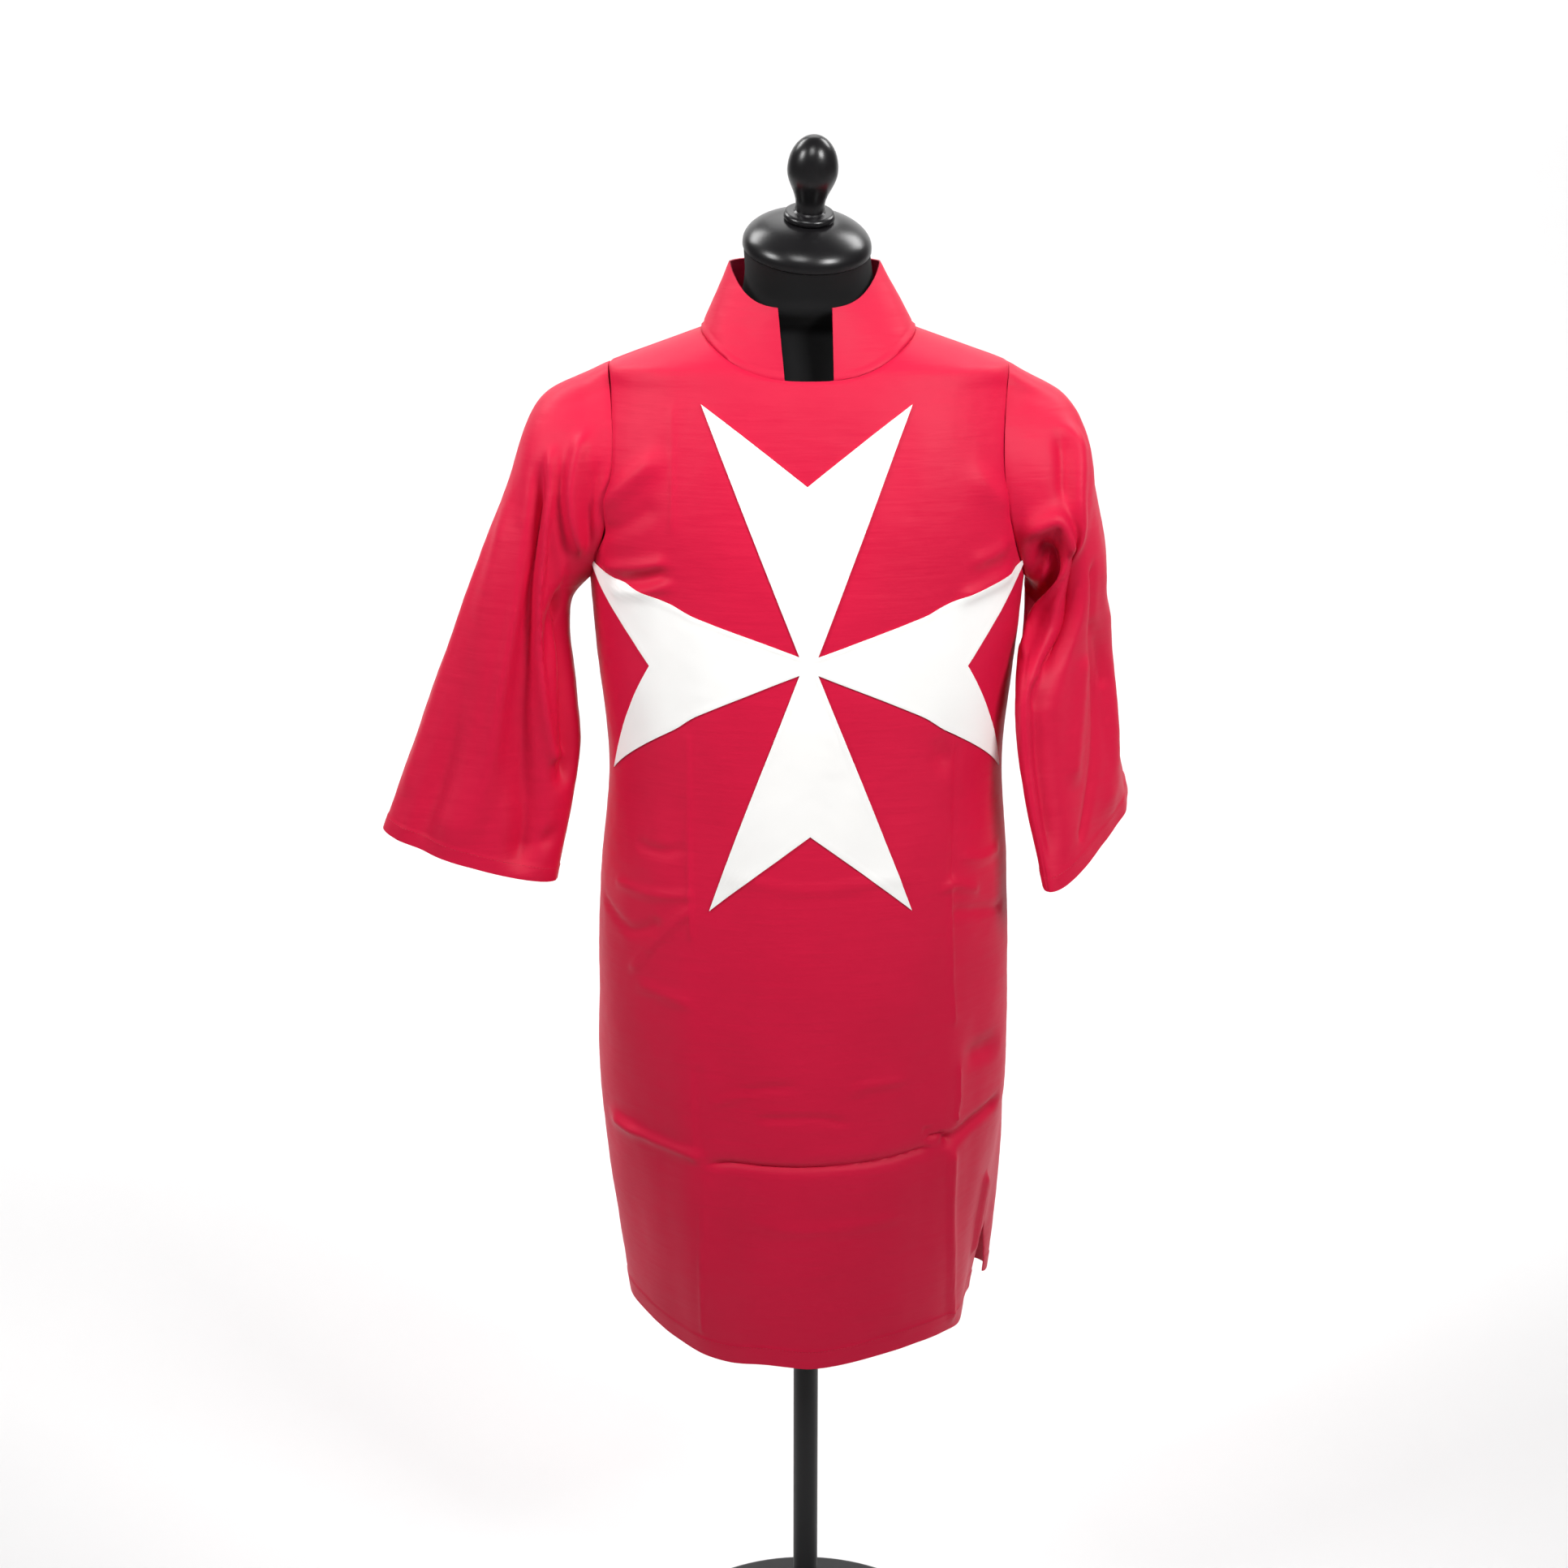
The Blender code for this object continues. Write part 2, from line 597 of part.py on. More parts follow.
def wrap_on_chest(flat):
    """x and z on the front for a point of the flat cross.

    Its side arms droop, and spread towards the shoulders as the cloth there does.
    """
    across, up = flat
    arc = across * (1.0 + up * (CROSS_TAPER + CROSS_SPREAD * across * across))
    drawn = (abs(across) - CROSS_DRAW_FROM) / (CROSS_DRAW_TO - CROSS_DRAW_FROM)
    arc -= math.copysign(CROSS_DRAW, across) * smooth_step(drawn)
    beyond = max(across * across - up * up, 0.0)
    flare = CROSS_UPPER_FLARE * beyond * beyond if up > 0 else CROSS_FLARE * math.sqrt(beyond)
    z = CROSS_CENTRE_Z + up * (1.0 + flare) - CROSS_DROOP * arc * arc / 2
    arc += CROSS_LEAN * up
    x = np.sin(np.linspace(-math.pi / 2, math.pi / 2, WRAP_STEPS)) * half_width(np.array(z))
    points, _ = body_cloth(x, np.full_like(x, z), FRONT)
    steps = np.linalg.norm(np.diff(points, axis=0), axis=1)
    lengths = np.concatenate([[0.0], np.cumsum(steps)])
    middle = np.interp(0.0, points[:, 0], lengths)
    return float(np.interp(middle + arc, lengths, points[:, 0])), z


def make_cross(front_grid, material, collection, cutters):
    """White cross: a sheet moved out from the front's own points, cut to the cross's outline."""
    points, out = front_grid
    heights = points[:, HALF_COLUMNS, 2]
    reach = CROSS_REACH + CROSS_SHEET_MARGIN
    rows = np.flatnonzero(np.abs(heights - CROSS_CENTRE_Z) < reach)
    rows = slice(max(rows[0] - 1, 0), rows[-1] + 1)
    lower = points[rows] + out[rows] * (WALL / 2 + SEAM_GAP)
    upper = lower + out[rows] * CROSS_THICKNESS
    sheet = add_object("cross", wall_mesh("cross", lower, upper), material, collection)
    outline = [wrap_on_chest(flat) for flat in cross_outline()]
    count = len(outline)
    near = [(x, -CROSS_CUTTER_DEPTH, z) for x, z in outline]
    far = [(x, HALF_GAP, z) for x, z in outline]
    mesh = bpy.data.meshes.new("cross_cutter")
    faces = [tuple(range(count)), tuple(range(2 * count - 1, count - 1, -1))]
    for index in range(count):
        following = (index + 1) % count
        faces.append((index, following, following + count, index + count))
    mesh.from_pydata(near + far, [], faces)
    shape = bmesh.new()
    shape.from_mesh(mesh)
    bmesh.ops.recalc_face_normals(shape, faces=shape.faces)
    shape.to_mesh(mesh)
    shape.free()
    cutter = add_object("cross_cutter", mesh, None, cutters)
    cutter.hide_render = True
    cutter.display_type = "WIRE"
    cut = sheet.modifiers.new("cut to the cross", "BOOLEAN")
    cut.operation = "INTERSECT"
    cut.solver = "EXACT"
    cut.object = cutter
    return sheet


def make_form(material, collection):
    """Torso and neck of the dress form, a loft through its sections with flat ends."""
    angles = np.arange(FORM_SIDES) * 2 * math.pi / FORM_SIDES
    rings = []
    for ring in FORM:
        reach = np.where(np.cos(angles) > 0, ring.side - ring.front, ring.back - ring.side)
        away = -np.cos(angles) * reach
        tilt = math.radians(ring.tilt)
        x = ring.half_width * np.sin(angles)
        y = ring.side + away * math.cos(tilt)
        z = ring.height + away * math.sin(tilt)
        rings.append(np.stack([x, y, z], axis=-1))
    place = leaning_place(0.0)
    around = NECK_TOP_RADIUS * np.stack([np.sin(angles), -np.cos(angles), 0.0 * angles], axis=-1)
    rings.append(np.array([place @ Vector(point) for point in around]))
    rings = np.stack(rings)
    rows = len(rings)
    faces = grid_faces(rows, FORM_SIDES, True, 0)
    bottom = tuple(range(FORM_SIDES))
    top = tuple((rows - 1) * FORM_SIDES + number for number in bottom)
    faces += [bottom[::-1], top]
    mesh = bpy.data.meshes.new("form_torso")
    mesh.from_pydata(rings.reshape(-1, 3).tolist(), [], faces)
    shape = bmesh.new()
    shape.from_mesh(mesh)
    bmesh.ops.recalc_face_normals(shape, faces=shape.faces)
    shape.to_mesh(mesh)
    shape.free()
    mesh.shade_smooth()
    mesh.set_sharp_from_angle(angle=FORM_SHARP)
    return add_object("form_torso", mesh, material, collection)


def turned(name, profile, material, collection, place=None):
    """A turned piece: a profile of radius and height, top to bottom, swept round its axis."""
    mesh = bpy.data.meshes.new(name)
    points = [(radius, 0.0, height) for radius, height in profile]
    mesh.from_pydata(points, [(number, number + 1) for number in range(len(points) - 1)], [])
    thing = add_object(name, mesh, material, collection)
    screw = thing.modifiers.new("turn", "SCREW")
    screw.axis = "Z"
    screw.angle = 2 * math.pi
    screw.steps = TURNED_STEPS
    screw.render_steps = TURNED_STEPS
    screw.use_merge_vertices = True
    screw.merge_threshold = MERGE_THRESHOLD
    screw.use_smooth_shade = True
    if place is not None:
        thing.matrix_world = place
    return thing


def leaning_place(height):
    """Where a piece stands on the leaning neck, at a height along its axis."""
    lean = Matrix.Rotation(NECK_SIDE_LEAN, 4, "Y") @ Matrix.Rotation(NECK_LEAN, 4, "X")
    lift = lean @ Vector((0.0, 0.0, height))
    return Matrix.Translation(NECK_TOP + lift) @ lean


def cap_seat_height():
    share = math.sqrt(1.0 - (CAP_SEAT / CAP_RIM) ** 2)
    return CAP_RIM_HEIGHT + CAP_DOME * share


def make_neck_cap(material, collection):
    seat = math.acos(CAP_SEAT / CAP_RIM)
    profile = [(0.0, cap_seat_height())]
    for step in range(CAP_STEPS + 1):
        angle = seat * (1.0 - step / CAP_STEPS)
        profile.append((CAP_RIM * math.cos(angle), CAP_RIM_HEIGHT + CAP_DOME * math.sin(angle)))
    profile += [(CAP_RIM, SMALL_BEVEL), (CAP_RIM - SMALL_BEVEL, 0.0), (0.0, 0.0)]
    return turned("neck_cap", profile, material, collection, leaning_place(SEAM_GAP))


def make_finial(material, collection):
    profile = []
    for step in range(EGG_STEPS + 1):
        angle = math.pi / 2 * step / EGG_STEPS
        height = FINIAL_EGG_MIDDLE + (FINIAL_HEIGHT - FINIAL_EGG_MIDDLE) * math.cos(angle)
        profile.append((FINIAL_EGG * math.sin(angle), height))
    for step in range(1, EGG_STEPS + 1):
        share = step / EGG_STEPS
        height = FINIAL_EGG_MIDDLE + (FINIAL_NECK_HEIGHT - FINIAL_EGG_MIDDLE) * share
        narrowing = (1.0 - math.cos(math.pi * share)) / 2
        profile.append((FINIAL_EGG + (FINIAL_NECK - FINIAL_EGG) * narrowing, height))
    ring_top = FINIAL_RING_HEIGHT
    profile += [(FINIAL_NECK, ring_top + SMALL_BEVEL), (FINIAL_NECK + SMALL_BEVEL, ring_top)]
    for step in range(RING_STEPS + 1):
        angle = math.pi / 2 - math.pi * step / RING_STEPS
        radius = FINIAL_RING - ring_top / 2 * (1.0 - math.cos(angle))
        profile.append((radius, ring_top / 2 * (1.0 + math.sin(angle))))
    profile.append((0.0, 0.0))
    place = leaning_place(cap_seat_height() + 2 * SEAM_GAP)
    return turned("finial", profile, material, collection, place)


def make_stand(material, collection):
    base = [(0.0, BASE_HEIGHT)]
    for step in range(BASE_EDGE_STEPS + 1):
        angle = math.pi / 2 * (1.0 - step / BASE_EDGE_STEPS)
        radius = BASE_RADIUS + BASE_EDGE * (math.cos(angle) - 1.0)
        base.append((radius, BASE_HEIGHT + BASE_EDGE * (math.sin(angle) - 1.0)))
    base += [(BASE_RADIUS, SMALL_BEVEL), (BASE_RADIUS - SMALL_BEVEL, 0.0), (0.0, 0.0)]
    turned("stand_base", base, material, collection)
    low = BASE_HEIGHT + SEAM_GAP
    high = FORM[0].height - SEAM_GAP
    pole = [(0.0, high), (POLE_RADIUS, high), (POLE_RADIUS, low), (0.0, low)]
    turned("stand_pole", pole, material, collection)


def main():
    clear_scene()
    parts = make_collection("tunic on dress form")
    cutters = make_collection("cutters")
    red = make_material("red cloth", RED_CLOTH)
    white = make_material("white cloth", WHITE_CLOTH)
    black = make_material("black cloth", BLACK_CLOTH)
    wood = make_material("black lacquered wood", BLACK_WOOD)
    metal = make_material("black painted metal", BLACK_METAL)
    front = panel_grid(FRONT)
    add_cloth("tunic_front", front, red, parts)
    add_cloth("tunic_back", panel_grid(BACK), red, parts)
    right = sleeve_grid(WEARERS_RIGHT, RIGHT_SLEEVE, RIGHT_SLEEVE_FOLDS)
    left = sleeve_grid(WEARERS_LEFT, LEFT_SLEEVE, LEFT_SLEEVE_FOLDS)
    add_cloth("sleeve_right", right, red, parts, closed=True)
    add_cloth("sleeve_left", left, red, parts, closed=True)
    add_cloth("collar", collar_grid(), red, parts)
    make_cross(front, white, parts, cutters)
    make_form(black, parts)
    make_neck_cap(wood, parts)
    make_finial(wood, parts)
    make_stand(metal, parts)


main()
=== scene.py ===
"""Looks of the red tunic on its dress form: cloth, seams, stitches, finishes and light.

Metres, +Z up. The tunic faces -Y, and left and right in the names are the wearer's.
"""

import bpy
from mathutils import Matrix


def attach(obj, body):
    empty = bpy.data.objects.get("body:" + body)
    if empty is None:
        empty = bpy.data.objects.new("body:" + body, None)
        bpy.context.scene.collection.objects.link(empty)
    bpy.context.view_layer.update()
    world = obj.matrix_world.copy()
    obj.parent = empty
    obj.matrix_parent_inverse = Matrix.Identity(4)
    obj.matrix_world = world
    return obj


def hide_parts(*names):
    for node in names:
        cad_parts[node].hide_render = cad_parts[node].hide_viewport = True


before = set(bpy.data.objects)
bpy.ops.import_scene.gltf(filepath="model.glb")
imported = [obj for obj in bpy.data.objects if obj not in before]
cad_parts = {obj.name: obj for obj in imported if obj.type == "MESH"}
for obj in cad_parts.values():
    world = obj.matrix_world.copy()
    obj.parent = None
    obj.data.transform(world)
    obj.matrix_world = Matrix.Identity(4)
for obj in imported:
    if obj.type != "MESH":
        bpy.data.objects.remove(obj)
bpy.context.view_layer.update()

import math
from collections import namedtuple

import bmesh
import bpy
import numpy as np
from mathutils import Matrix, Vector, noise

# Cloth and seams
WALL = 0.0012
SEAM_GAP = 0.0001
HALF_GAP = SEAM_GAP / 2
FRONT, BACK = -1, 1
WEARERS_RIGHT, WEARERS_LEFT = -1, 1

# Camera and floor: the eye's height and distance, and the way it looks down
EYE = (-0.024, -2.5, 1.72)
EYE_PITCH = math.radians(15.35)
LENS_MM = 57.58
SENSOR_MM = 36.0
FLOOR_HALF = 9.0
BACKDROP_Y = 3.2
BACKDROP_BEND = 1.6
BACKDROP_TOP = 6.0
BACKDROP_STEPS = 24
BACKDROP_MIDDLE = (0.0, 4.4, 0.6)
KEY_TARGET = (0.0, 0.0, 1.40)
KEY_SPREAD = math.radians(60)
WIDE_SPREAD = math.radians(180)
Light = namedtuple("Light", "name place target side power spread")
LIGHTS = (
    Light("right key", (-2.1, -1.25, 2.6), KEY_TARGET, 0.8, 5.2, KEY_SPREAD),
    Light("left key", (1.6, -1.9, 2.6), KEY_TARGET, 0.8, 7.6, KEY_SPREAD),
    Light("front", (-0.3, -2.0, 3.0), KEY_TARGET, 0.8, 2.7, KEY_SPREAD),
    Light("top", (0.0, 1.2, 3.2), KEY_TARGET, 1.2, 1.5, KEY_SPREAD),
    Light("backdrop right", (-2.6, 1.8, 4.4), BACKDROP_MIDDLE, 2.0, 165.0, WIDE_SPREAD),
    Light("backdrop left", (2.6, 1.8, 4.4), BACKDROP_MIDDLE, 2.0, 165.0, WIDE_SPREAD),
)
WORLD_STRENGTH = 0.08

# Main heights and widths of the tunic, the same as the solids'
HEM_Z = 0.432
UNDERARM_Z = 1.255
SHOULDER_TIP = (0.197, 1.467)
NECK_POINT = (0.105, 1.500)
FRONT_NECK_Z = 1.458
NECKLINE_CURVE = 2.7
ARMHOLE_HOLLOW = 0.016
ARMHOLE_TILT = math.radians(23.6)
RIDGE_SLOPE = (SHOULDER_TIP[0] - NECK_POINT[0]) / (NECK_POINT[1] - SHOULDER_TIP[1])

# Horizontal sections of the tunic's body, the same as the solids'
Section = namedtuple("Section", "height middle half_width front side back front_round back_round")
BODY = (
    Section(0.430, 0.000, 0.196, -0.130, 0.055, 0.170, 1.80, 3.2),
    Section(0.550, -0.003, 0.2085, -0.132, 0.045, 0.165, 1.85, 3.0),
    Section(0.700, -0.0045, 0.2165, -0.134, 0.030, 0.158, 1.95, 2.8),
    Section(0.850, -0.0042, 0.2150, -0.135, 0.015, 0.150, 2.05, 2.6),
    Section(0.950, -0.0038, 0.2100, -0.134, 0.005, 0.140, 2.10, 2.5),
    Section(1.058, -0.0032, 0.2013, -0.134, 0.000, 0.132, 2.05, 2.4),
    Section(1.160, -0.001, 0.209, -0.138, 0.000, 0.132, 2.08, 2.3),
    Section(1.255, 0.000, 0.217, -0.138, 0.000, 0.130, 2.15, 2.3),
    Section(1.330, 0.000, 0.224, -0.132, 0.000, 0.128, 2.30, 2.3),
    Section(1.400, 0.000, 0.220, -0.120, 0.000, 0.118, 2.30, 2.3),
    Section(1.445, 0.000, 0.204, -0.107, 0.000, 0.100, 2.30, 2.3),
    Section(1.467, 0.000, 0.197, -0.098, 0.000, 0.090, 2.30, 2.3),
    Section(1.500, 0.000, 0.105, -0.075, 0.000, 0.070, 2.30, 2.3),
)

# Large folds of the body, the same as the solids' but for the first, which is 25 mm shallower
# here: angle from the front's middle towards the wearer's left, heights and depth
Fold = namedtuple("Fold", "angle spread bottom top depth")
FOLD_FADE = 0.45
BODY_FOLDS = (
    Fold(77, 27, 0.10, 0.70, -0.018),
    Fold(108, 22, 0.10, 0.90, 0.018),
    Fold(45, 11, 0.30, 0.98, 0.0035),
    Fold(-32, 11, 0.30, 0.96, 0.0030),
    Fold(-88, 20, 0.20, 0.74, -0.006),
    Fold(152, 16, 0.15, 0.95, -0.009),
    Fold(-158, 14, 0.20, 0.88, -0.008),
    Fold(180, 12, 0.30, 0.80, 0.006),
)

# Rings and folds of the sleeves, the same as the solids'
Ring = namedtuple("Ring", "outer inner front")
RIGHT_SLEEVE = (
    Ring((-0.2655, 0.004, 1.4295), (-0.238, 0.000, 1.235), (0.000, -0.072, 0.000)),
    Ring((-0.3027, 0.006, 1.342), (-0.243, -0.002, 1.201), (0.000, -0.070, 0.000)),
    Ring((-0.3520, 0.008, 1.218), (-0.2365, -0.004, 1.134), (0.000, -0.062, -0.006)),
    Ring((-0.399, 0.010, 1.091), (-0.234, -0.004, 1.065), (0.000, -0.052, -0.014)),
    Ring((-0.441, 0.012, 0.985), (-0.262, -0.014, 0.936), (-0.004, -0.048, 0.001)),
)
LEFT_SLEEVE = (
    Ring((0.2635, 0.020, 1.4200), (0.232, -0.008, 1.238), (0.018, -0.070, 0.000)),
    Ring((0.2765, 0.036, 1.362), (0.2285, -0.019, 1.223), (0.022, -0.059, 0.000)),
    Ring((0.289, 0.051, 1.3012), (0.226, -0.031, 1.207), (0.026, -0.046, 0.000)),
    Ring((0.3025, 0.088, 1.180), (0.2145, -0.078, 1.162), (0.028, -0.020, 0.000)),
    Ring((0.3195, 0.092, 1.0637), (0.2175, -0.088, 1.0747), (0.028, -0.016, 0.000)),
    Ring((0.337, 0.097, 1.012), (0.242, -0.097, 0.948), (0.021, -0.014, -0.001)),
)
SleeveFold = namedtuple("SleeveFold", "start_angle end_angle spread start end depth")
RIGHT_SLEEVE_FOLDS = (
    SleeveFold(52, 62, 20, 0.30, 1.30, -0.009),
    SleeveFold(84, 88, 14, 0.20, 1.10, 0.006),
    SleeveFold(150, 120, 20, 0.08, 0.50, -0.010),
    SleeveFold(240, 255, 22, 0.25, 1.25, -0.008),
)
LEFT_SLEEVE_FOLDS = (
    SleeveFold(105, 158, 26, 0.08, 0.66, -0.022),
    SleeveFold(72, 60, 16, 0.15, 1.20, 0.005),
    SleeveFold(250, 235, 24, 0.20, 1.20, -0.008),
)

# Stand collar: its top edge, the same as the solid's
COLLAR_COLUMNS = 7
COLLAR_TOP_HALF_WIDTH = 0.0730
COLLAR_TOP_MIDDLE_X = -0.004
COLLAR_TOP_MIDDLE_Y = -0.013
COLLAR_TOP_HALF_DEPTH = 0.075
COLLAR_TOP_FRONT_Z = 1.525
COLLAR_TOP_BACK_Z = 1.565
COLLAR_TOP_RISE = 0.5
COLLAR_TOP_START = math.radians(20.8)

# Cross, the same as the solid's
CROSS_CENTRE_Z = 1.189
CROSS_REACH = 0.250
CROSS_NOTCH = 0.172
CROSS_TIP_HALF_WIDTH = 0.1015
CROSS_NECK = 0.009
CROSS_DROOP = 0.60
CROSS_SPREAD = 10.0
CROSS_TAPER = -0.12
CROSS_LEAN = -0.010
CROSS_FLARE = 0.35
CROSS_UPPER_FLARE = 30.0
CROSS_DRAW = 0.009
CROSS_DRAW_FROM = 0.110
CROSS_DRAW_TO = 0.150
CROSS_LIFT = 0.0008
CROSS_CLEAR = 0.0007
WRAP_STEPS = 240

# Creases of the body: points of x and z on that face, then half the crease's width and its
# depth, which stands out if positive. A sharp crease has a peaked section, others are round.
Crease = namedtuple("Crease", "face points half_width depth sharp")
FRONT_PRESSED = (
    Crease(FRONT, ((-0.112, 0.770), (-0.111, 0.700), (-0.108, 0.656)), 0.0035, -0.0035, True),
    Crease(FRONT, ((-0.108, 0.650), (-0.110, 0.560), (-0.110, 0.455)), 0.0035, 0.0022, True),
    Crease(FRONT, ((-0.119, 1.118), (-0.119, 1.000), (-0.117, 0.900)), 0.0040, 0.0021, True),
    Crease(FRONT, ((-0.132, 1.437), (-0.131, 1.383), (-0.132, 1.310)), 0.0040, 0.0018, True),
    Crease(FRONT, ((0.146, 1.105), (0.145, 1.027), (0.144, 0.960)), 0.0040, -0.0022, True),
    Crease(FRONT, ((0.143, 0.960), (0.146, 0.880), (0.151, 0.800)), 0.0040, 0.0022, True),
    Crease(FRONT, ((0.156, 0.760), (0.156, 0.725), (0.153, 0.690)), 0.0035, 0.0040, True),
    Crease(FRONT, ((0.150, 0.668), (0.152, 0.571), (0.156, 0.445)), 0.0060, 0.0050, False),
)
FRONT_ACROSS = (
    Crease(FRONT, ((-0.202, 0.682), (-0.154, 0.672), (-0.118, 0.667), (-0.107, 0.655)),
           0.0060, 0.0039, False),
    Crease(FRONT, ((-0.107, 0.657), (-0.077, 0.662), (-0.039, 0.662), (0.002, 0.662),
                   (0.063, 0.664), (0.096, 0.667), (0.131, 0.672)), 0.0060, -0.0057, True),
    Crease(FRONT, ((0.131, 0.672), (0.152, 0.677), (0.175, 0.685), (0.203, 0.694)),
           0.0070, -0.0065, False),
    Crease(FRONT, ((0.121, 0.698), (0.127, 0.683), (0.138, 0.684), (0.150, 0.671)),
           0.0038, -0.0061, True),
    Crease(FRONT, ((-0.100, 0.724), (-0.077, 0.736), (-0.053, 0.744)), 0.0035, 0.0018, False),
    Crease(FRONT, ((-0.073, 0.742), (-0.040, 0.750), (-0.012, 0.753)), 0.0035, -0.0022, False),
    Crease(FRONT, ((-0.053, 0.715), (-0.019, 0.717), (0.015, 0.717), (0.042, 0.709)),
           0.0035, -0.0022, False),
    Crease(FRONT, ((0.042, 0.744), (0.062, 0.751), (0.103, 0.753)), 0.0035, 0.0022, False),
    Crease(FRONT, ((-0.090, 0.975), (0.000, 0.962), (0.100, 0.972)), 0.0060, 0.0014, False),
    Crease(FRONT, ((-0.060, 0.598), (0.020, 0.592), (0.100, 0.600)), 0.0060, 0.0014, False),
)
FRONT_SOFT = (
    Crease(FRONT, ((-0.182, 0.854), (-0.152, 0.897), (-0.115, 0.939)), 0.0050, 0.0038, False),
    Crease(FRONT, ((-0.212, 0.924), (-0.189, 0.904), (-0.174, 0.901), (-0.146, 0.918)),
           0.0050, -0.0034, False),
    Crease(FRONT, ((-0.198, 0.947), (-0.159, 0.944), (-0.111, 0.950)), 0.0045, 0.0027, False),
    Crease(FRONT, ((-0.178, 0.845), (-0.150, 0.841), (-0.112, 0.833)), 0.0060, 0.0021, False),
    Crease(FRONT, ((-0.175, 0.995), (-0.145, 0.990), (-0.120, 1.000)), 0.0050, -0.0025, False),
    Crease(FRONT, ((0.136, 0.945), (0.145, 0.956), (0.176, 0.941)), 0.0050, 0.0038, False),
    Crease(FRONT, ((0.142, 0.928), (0.169, 0.922), (0.202, 0.912)), 0.0050, -0.0034, False),
    Crease(FRONT, ((0.150, 0.985), (0.175, 0.975), (0.196, 0.980)), 0.0050, 0.0029, False),
    Crease(FRONT, ((0.156, 0.763), (0.180, 0.763), (0.202, 0.762)), 0.0120, -0.0063, False),
    Crease(FRONT, ((-0.210, 0.679), (-0.164, 0.674)), 0.0100, 0.0042, False),
    Crease(FRONT, ((0.194, 0.606), (0.185, 0.539), (0.178, 0.493)), 0.0060, 0.0063, False),
    Crease(FRONT, ((-0.214, 1.318), (-0.186, 1.348), (-0.165, 1.367), (-0.134, 1.393)),
           0.0110, 0.0071, False),
    Crease(FRONT, ((-0.214, 1.296), (-0.176, 1.320), (-0.140, 1.345)), 0.0090, -0.0034, False),
    Crease(FRONT, ((-0.201, 1.274), (-0.170, 1.278), (-0.132, 1.287)), 0.0060, 0.0042, False),
    Crease(FRONT, ((-0.189, 1.262), (-0.160, 1.267), (-0.132, 1.277)), 0.0055, -0.0034, False),
    Crease(FRONT, ((-0.196, 1.250), (-0.160, 1.254), (-0.128, 1.266)), 0.0060, 0.0034, False),
    Crease(FRONT, ((0.205, 1.271), (0.172, 1.258), (0.140, 1.247)), 0.0080, 0.0055, False),
    Crease(FRONT, ((0.200, 1.300), (0.172, 1.288), (0.150, 1.284)), 0.0080, 0.0038, False),
    Crease(FRONT, ((0.205, 1.330), (0.175, 1.352), (0.150, 1.385)), 0.0140, 0.0050, False),
    Crease(FRONT, ((0.125, 1.116), (0.132, 1.090), (0.134, 1.065)), 0.0110, -0.0046, False),
)
BACK_CREASES = (
    Crease(BACK, ((-0.110, 1.320), (-0.112, 1.000), (-0.112, 0.450)), 0.0040, 0.0022, True),
    Crease(BACK, ((0.112, 1.320), (0.113, 1.000), (0.114, 0.450)), 0.0040, 0.0022, True),
    Crease(BACK, ((-0.190, 0.672), (-0.100, 0.660), (0.010, 0.664), (0.110, 0.658), (0.190, 0.668)),
           0.0060, -0.0040, True),
    Crease(BACK, ((-0.165, 1.020), (-0.070, 1.006), (0.040, 1.012), (0.150, 1.028)),
           0.0100, -0.0036, False),
    Crease(BACK, ((-0.190, 1.060), (-0.110, 1.040), (-0.050, 1.046)), 0.0080, 0.0040, False),
    Crease(BACK, ((0.185, 1.058), (0.120, 1.046), (0.040, 1.052)), 0.0080, 0.0040, False),
    Crease(BACK, ((-0.200, 1.290), (-0.150, 1.275), (-0.100, 1.282)), 0.0080, 0.0040, False),
    Crease(BACK, ((0.200, 1.286), (0.155, 1.272), (0.110, 1.280)), 0.0080, 0.0040, False),
    Crease(BACK, ((-0.200, 1.330), (-0.165, 1.372), (-0.130, 1.400)), 0.0110, 0.0047, False),
    Crease(BACK, ((0.200, 1.330), (0.168, 1.368), (0.132, 1.396)), 0.0110, 0.0047, False),
    Crease(BACK, ((-0.150, 0.860), (-0.060, 0.846)), 0.0080, 0.0026, False),
    Crease(BACK, ((0.050, 0.790), (0.160, 0.806)), 0.0080, 0.0026, False),
    Crease(BACK, ((-0.060, 0.742), (0.010, 0.750), (0.070, 0.744)), 0.0040, -0.0018, False),
)
CREASE_REACH = 6.0
CREASE_FADE = 2.6
SHARP_FALL = 1.2
LINE_STEPS = 10
CREASE_SIDE_FADE = 0.05
CREASE_TOP_FADE = 0.03
CREASE_TOP_SHARE = 0.2
BODY_CREASES = FRONT_PRESSED + FRONT_ACROSS + FRONT_SOFT + BACK_CREASES

